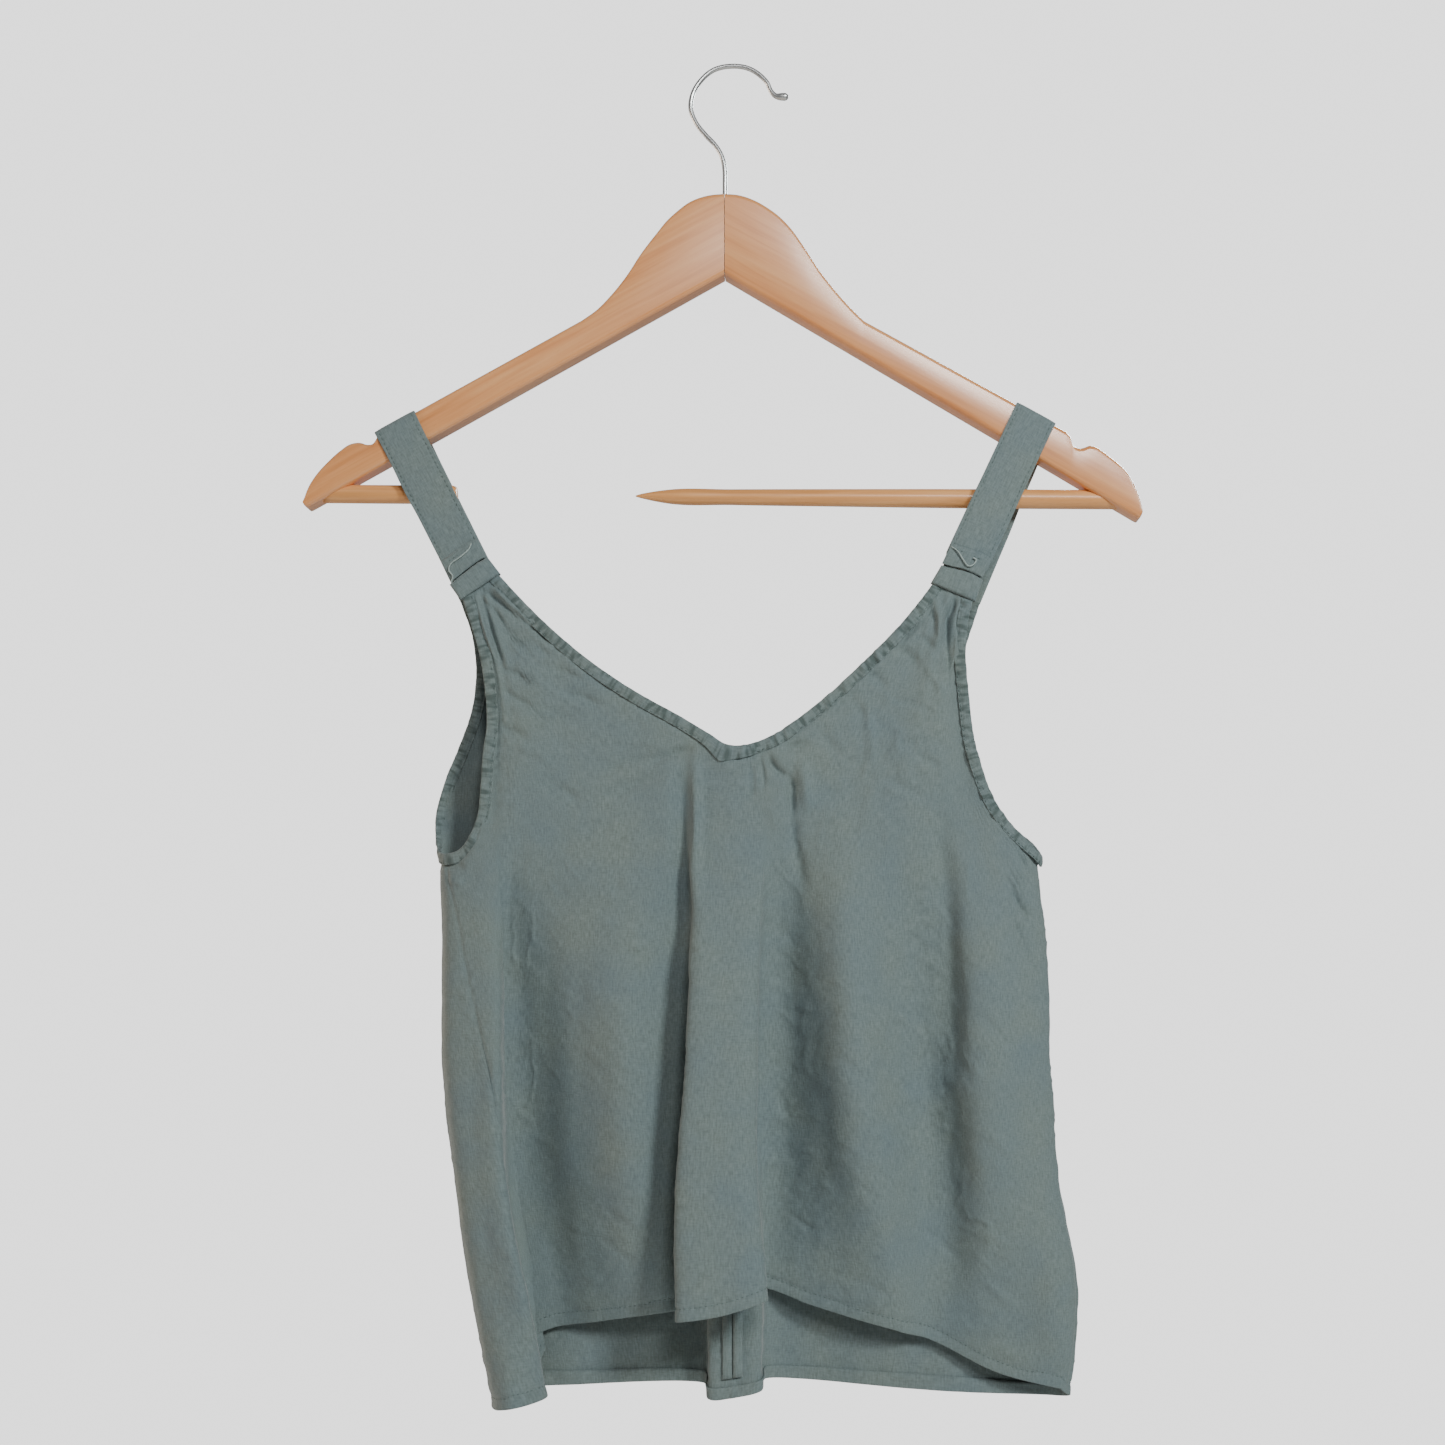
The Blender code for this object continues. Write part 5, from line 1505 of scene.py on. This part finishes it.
def make_tab(name, strap, line, normal, linen, thread):
    """The strap's own end, folded back on its front above the band and sewn down."""
    left, right = np.array(strap["band_top"], float)
    across = np.array([right[0] - left[0], 0.0, right[1] - left[1]])
    run = unit(line[4] - line[0])
    up = np.array([-across[2], 0.0, across[0]])
    centre = np.array([left[0] + right[0], 2 * line[0, 1], left[1] + right[1]]) / 2
    rise = ((centre - line[0]) @ up + SEAM_GAP * np.linalg.norm(up)) / (run @ up)
    side, depth = rounded(*TAB_SECTION)
    loops = []
    for share in np.linspace(0, 1, END_STEPS):
        centre = line[0] + run * (rise + CREASE_GAP + share * (TAB_HEIGHT - CREASE_GAP))
        sway = sway_of(side, *TAB_SWAY) * share + sway_of(side, *BAND_SWAY) * (1 - share)
        spot = centre + unit(across) * (side * TAB_WIDTH / 2)[:, None] + run * sway[:, None]
        thick = TAB_HALF * min(1, 3 * (1 - share) + 0.25) + uneven(spot, TAB_WAVES) * (depth > 0)
        loops.append(spot + normal * (TAB_DEPTH + depth * thick)[:, None])
    made = loops_piece("tab_cloth_" + name, loops, linen)
    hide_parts("strap_tab_" + name)
    seat = line[0] + run * (rise + TAB_HEIGHT - TAB_SEAT) + normal * (TAB_DEPTH + TAB_LIFT)
    ends = np.linspace(-0.5, 0.5, SEAT_POINTS)[:, None]
    path = seat + unit(across) * ends * (TAB_WIDTH - TAB_MARGIN)
    facing = np.broadcast_to(normal, path.shape)
    stitches(f"tab_{name}_stitches", path, facing, thread, TAB_STITCHES)


def tube_loops(path, radii, sides, side_axis):
    """Round loops square to a path. side_axis is a direction that the path never takes."""
    run = unit(np.gradient(path, axis=0))
    first = unit(np.cross(run, np.broadcast_to(side_axis, run.shape)))
    second = np.cross(run, first)
    angle = np.linspace(0, 2 * math.pi, sides, endpoint=False)[None, :, None]
    ring = np.cos(angle) * first[:, None] + np.sin(angle) * second[:, None]
    return path[:, None] + radii[:, None, None] * ring


def arm_sections(name, arm):
    """Upright sections along an arm, each a rounded box between its top outline and its straight
    lower edge, and coordinates that run along the grain."""
    side = -1 if name == "left" else 1
    outline = [smooth(arm[stretch], OUTLINE_STEPS) for stretch in ("shoulder", "end")]
    top = np.concatenate(outline) * (side, 1)
    tip = top[:, 0].argmax()
    low = np.concatenate([top[tip:], [np.array(arm["low_middle"]) * (side, 1)]])[::-1]
    top = top[: tip + 1]
    last = top[tip, 0]
    plain = np.linspace(top[0, 0], last - ARM_END, ARM_STEPS)
    rounding = np.linspace(ARM_END_START, 0, ARM_END_STEPS) ** 2
    at = np.concatenate([plain, last - ARM_END * rounding])
    high_z = np.interp(at, top[:, 0], top[:, 1])
    low_z = np.interp(at, low[:, 0], low[:, 1])
    angle = np.linspace(0, 2 * math.pi, ARM_SIDES, endpoint=False)
    height = np.maximum(high_z - low_z, ARM_LEAST_HEIGHT)[:, None]
    radius = np.minimum(RIM_RADIUS, RIM_SHARE * height)
    y = np.sign(np.cos(angle)) * (ARM_THICKNESS / 2 - radius) + radius * np.cos(angle)
    z = np.sign(np.sin(angle)) * (height / 2 - radius) + radius * np.sin(angle)
    z = (high_z + low_z)[:, None] / 2 + z
    x = np.broadcast_to(at[:, None], y.shape)
    slope = math.atan2(*GRAIN_FALL)
    along = x * math.cos(slope) + z * math.sin(slope) + GRAIN_SHIFT * (side > 0)
    across = z * math.cos(slope) - x * math.sin(slope)
    return np.stack([x * side, y, z], axis=-1), np.stack([across + y, along], axis=-1)


def make_tube(name, table, steps, sides, side_axis, finish):
    """A round rod along a table's line in x and z, with the table's radii."""
    rows = smooth(table, steps)
    path = np.stack([rows[:, 0], 0 * rows[:, 0], rows[:, 1]], axis=-1)
    return loops_piece(name, tube_loops(path, rows[:, 2], sides, side_axis), finish)


def make_hanger(woods, bar_wood, steel):
    """The two arms, each a flat outline with a rounded rim, the bar, the hook and its nut."""
    for name, arm in ARMS.items():
        loops, uv = arm_sections(name, arm)
        made = loops_piece("arm_" + name, loops, woods, uv, sharp_edges=SHARP_EDGES)
        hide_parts("hanger_arm_" + name)
    for name, table in BARS.items():
        made = make_tube("bar_" + name, table, BAR_STEPS, BAR_SIDES, (0, 0, 1), bar_wood)
        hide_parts("trouser_bar_" + name)
    made = make_tube("wire_hook", HOOK, HOOK_STEPS, HOOK_SIDES, (0, 1, 0), steel)
    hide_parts("hook")
    nut = frame["nodes"]["hook_nut"]
    nut.data.materials.clear()
    nut.data.materials.append(steel)


def linear(code):
    """A linear colour from an sRGB hex value."""
    values = [int(code[at : at + 2], 16) / 255 for at in (0, 2, 4)]
    return tuple(v / 12.92 if v <= 0.04045 else ((v + 0.055) / 1.055) ** 2.4 for v in values) + (1.0,)


def add(tree, kind, inputs=(), **settings):
    """A node with its settings, each input a value or the socket that feeds it."""
    made = tree.nodes.new(kind)
    for key, value in settings.items():
        setattr(made, key, value)
    for name, value in dict(inputs).items():
        if isinstance(value, bpy.types.NodeSocket):
            tree.links.new(value, made.inputs[name])
        else:
            made.inputs[name].default_value = value
    return made


def noise(tree, place, scale, detail, **more):
    """Smooth uneven values about 0.5, as many cells to a unit of place as the scale says."""
    inputs = {"Vector": place, "Scale": scale, "Detail": detail, **more}
    return add(tree, "ShaderNodeTexNoise", inputs).outputs[0]


def stretched(tree, place, across, along):
    """Coordinates that count a length across and a length along, in metres, as 1."""
    scale = (1 / across, 1 / along, 1)
    return add(tree, "ShaderNodeMapping", {"Vector": place, "Scale": scale}).outputs[0]


def combine(tree, operation, first, second):
    """Two values multiplied or added."""
    return add(tree, "ShaderNodeMath", {0: first, 1: second}, operation=operation).outputs[0]


def spread(tree, value, **ends):
    """Values taken from one range to another. Both are 0 to 1 unless their ends are given."""
    inputs = {key.replace("_", " "): end for key, end in ends.items()}
    return add(tree, "ShaderNodeMapRange", {"Value": value, **inputs}).outputs[0]


def blend(tree, share, first, second):
    """A colour between two, going to the second as the share goes to 1."""
    inputs = {0: share, 6: first, 7: second}
    return add(tree, "ShaderNodeMix", inputs, data_type="RGBA").outputs[2]


def add_relief(tree, shader, height, strength, distance):
    """Fine relief on a finish, distance in metres."""
    inputs = {"Height": height, "Strength": strength, "Distance": distance}
    tree.links.new(add(tree, "ShaderNodeBump", inputs).outputs[0], shader.inputs["Normal"])


def on_object(tree):
    """Places in the object's own metres."""
    return add(tree, "ShaderNodeTexCoord").outputs["Object"]


def on_piece(tree):
    """Places across a piece and along it, in metres."""
    return add(tree, "ShaderNodeUVMap", uv_map=UV_NAME).outputs[0]


def start_finish(name, **values):
    """A material with the given values on its shader, its tree and that shader."""
    made = bpy.data.materials.new(name)
    made.use_nodes = True
    shader = made.node_tree.nodes["Principled BSDF"]
    for key, value in values.items():
        shader.inputs[key.replace("_", " ")].default_value = value
    return made, made.node_tree, shader


def ramp(tree, value, *stops):
    """Colours from a value between 0 and 1. Each stop is a place and a hex colour."""
    made = add(tree, "ShaderNodeValToRGB", {0: value})
    band = made.color_ramp
    while len(band.elements) < len(stops):
        band.elements.new(0.5)
    for element, (place, code) in zip(band.elements, stops):
        element.position = place
        element.color = linear(code)
    return made.outputs[0]


def linen_finish(name, puckered=0.0):
    """Garment-washed plain-weave linen, piece dyed: a matt surface of uneven threads. The eye
    sees fine upright streaks and short slubs across them in the threads' own uneven tone, with the
    weave's hollows painted darker as painted shade, and soft patches where the dye took a little
    warmer or cooler. Threads are really 0.5 mm apart, and are drawn 0.8 mm apart so that they
    show. On a binding, streaks of painted shade darken the hollows between its puckers."""
    made, tree, shader = start_finish(
        name, Roughness=0.88, Sheen_Weight=0.25, Sheen_Roughness=0.45, Specular_IOR_Level=0.25
    )
    uv, place = on_piece(tree), on_object(tree)
    streaks, slubs = (noise(tree, stretched(tree, uv, *size), 1.0, 2.0) for size in WEAVE)
    weave = add(tree, "ShaderNodeMix", {0: SLUB_SHARE, 2: streaks, 3: slubs}).outputs[0]
    mottled = spread(tree, noise(tree, place, *DYE_PATCHES), From_Min=0.3, From_Max=0.7)
    # The weave's value sets both the tone and the relief, so its hollows get the darker tones: painted
    # shade, on top of the threads' own uneven tone
    warm, cool = (ramp(tree, weave, *zip(LINEN_STOPS, tones)) for tones in (LINEN, LINEN_COOL))
    colour = blend(tree, mottled, warm, cool)
    # Painted shade: noise streaks of a darker tone at the puckers' size, standing for the shade in the
    # hollows between them
    if puckered:
        folds = noise(tree, stretched(tree, uv, *PUCKERS), 1.0, 1.0)
        folds = spread(tree, folds, From_Min=0.44, From_Max=0.66, To_Max=puckered)
        colour = blend(tree, folds, colour, linear(LINEN_PUCKER_SHADE))
    tree.links.new(colour, shader.inputs["Base Color"])
    fuzz = combine(tree, "MULTIPLY", noise(tree, place, *LINEN_FUZZ), 0.8)
    add_relief(tree, shader, combine(tree, "ADD", fuzz, weave), 0.4, 0.0005)
    return made


def thread_finish(name, dark, pale):
    """Spun polyester sewing thread, smoother than the cloth. Sewn stitches get tones darker than
    the cloth, painted shade of the grooves that they sink into, and a loose end gets paler tones."""
    made, tree, shader = start_finish(name, Roughness=0.6)
    twist = noise(tree, on_object(tree), *THREAD_TWIST)
    tree.links.new(ramp(tree, twist, (0.3, dark), (0.7, pale)), shader.inputs["Base Color"])
    return made


def wood_finish(name, pale, middle, dark, roughness, coat):
    """Planed beech under clear lacquer: straight grain with fine darker flecks, and a soft
    reflection over it."""
    made, tree, shader = start_finish(
        name, Roughness=roughness, Coat_Weight=coat, Coat_Roughness=0.2, IOR=1.5
    )
    uv = on_piece(tree)
    grain, broad, fleck = (stretched(tree, uv, *size) for size in GRAINS)
    lines = noise(tree, grain, 1.0, 3.0, Distortion=0.4)
    mixed = combine(tree, "ADD", lines, noise(tree, broad, 1.0, 2.0))
    mixed = combine(tree, "MULTIPLY", mixed, 0.5)
    colour = ramp(tree, mixed, *zip(WOOD_STOPS, (dark, middle, pale)))
    pores = spread(tree, noise(tree, fleck, 1.0, 1.0), From_Min=0.66, From_Max=0.76, To_Max=0.35)
    tree.links.new(blend(tree, pores, colour, linear(dark)), shader.inputs["Base Color"])
    add_relief(tree, shader, lines, 0.12, 0.0003)
    return made


def steel_finish():
    """Bright chromed steel wire: a mirror with a faint drawn grain."""
    made, tree, shader = start_finish(
        "chromed_steel_wire", Metallic=1.0, Base_Color=linear("c4c4c3")
    )
    rough = spread(tree, noise(tree, on_object(tree), *STEEL_GRAIN), To_Min=0.26, To_Max=0.34)
    tree.links.new(rough, shader.inputs["Roughness"])
    return made


def make_light(name, direction, target, power, size, colour):
    """A square soft light. Its direction from the target is in degrees to the right and upwards."""
    turn, rise = (math.radians(angle) for angle in direction)
    data = bpy.data.lights.new(name, "AREA")
    data.energy = power
    data.size = size
    data.color = linear(colour)[:3]
    made = bpy.data.objects.new(name, data)
    bpy.context.scene.collection.objects.link(made)
    level = math.cos(rise)
    away = Vector((math.sin(turn) * level, -math.cos(turn) * level, math.sin(rise)))
    made.location = Vector(target) + away * LIGHT_DISTANCE
    made.rotation_mode = "QUATERNION"
    made.rotation_quaternion = (-away).to_track_quat("-Z", "Y")


def make_camera():
    """Camera at the photograph's place."""
    lens = bpy.data.cameras.new("camera")
    lens.sensor_width = SENSOR
    lens.lens = SENSOR / FRAME_WIDTH
    lens.shift_x, lens.shift_y = LENS_SHIFT
    camera = bpy.data.objects.new("camera", lens)
    camera.location = CAMERA_PLACE
    camera.rotation_euler = (math.pi / 2, 0, 0)
    bpy.context.scene.collection.objects.link(camera)
    bpy.context.scene.camera = camera


def make_studio():
    """The camera, soft lights, a pale surround and a pale floor."""
    make_camera()
    for light in LIGHTS:
        make_light(*light)
    world = bpy.data.worlds.new("pale studio")
    bpy.context.scene.world = world
    world.use_nodes = True
    tree = world.node_tree
    tree.nodes.clear()
    surrounds = (("eef3ff", AMBIENT), ("f2f2f2", BACKDROP))
    ambient, seen = (
        add(tree, "ShaderNodeBackground", {"Color": linear(code), "Strength": power}).outputs[0]
        for code, power in surrounds
    )
    ray = add(tree, "ShaderNodeLightPath").outputs
    shine = combine(tree, "MULTIPLY", ray["Is Glossy Ray"], SHINE_SHARE)
    share = combine(tree, "ADD", ray["Is Camera Ray"], shine)
    both = add(tree, "ShaderNodeMixShader", {0: share, 1: ambient, 2: seen}).outputs[0]
    add(tree, "ShaderNodeOutputWorld", {"Surface": both})
    angle = np.linspace(0, 2 * math.pi, FLOOR_SIDES, endpoint=False)
    rim = FLOOR_RADIUS * np.stack([np.cos(angle), np.sin(angle), 0 * angle], axis=-1)
    mesh = bpy.data.meshes.new("floor")
    mesh.from_pydata(rim + (0, 0, FLOOR_HEIGHT), [], [list(range(FLOOR_SIDES))])
    pale, _, _ = start_finish("pale_floor", Roughness=0.9, Base_Color=linear("f2f2f0"))
    mesh.materials.append(pale)
    floor = bpy.data.objects.new("floor", mesh)
    bpy.context.scene.collection.objects.link(floor)


def main():
    linen = linen_finish("washed_linen_sage")
    # The bindings' linen, with painted shade in streaks between their puckers
    seam = linen_finish("washed_linen_painted_pucker_shade", 0.75)
    # Sewn stitches coloured dark: painted shade of the grooves along their rows
    thread = thread_finish("sewing_thread_sage_painted_shade", "485654", "6a7a78")
    loose = thread_finish("loose_thread_end", "8f9d9a", "a9b6b3")
    lacquered = wood_finish("lacquered_beech", "efaa6e", "e5995c", "d5864a", 0.3, 1.0)
    turned_bar = wood_finish("turned_beech", "efb174", "e5a061", "d28e50", 0.4, 0.3)
    steel = steel_finish()
    make_studio()
    make_panels(linen, thread)
    for binding in BINDINGS:
        make_binding(*binding, seam, thread)
    make_straps(linen, thread, loose)
    make_hanger(lacquered, turned_bar, steel)
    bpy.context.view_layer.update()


main()
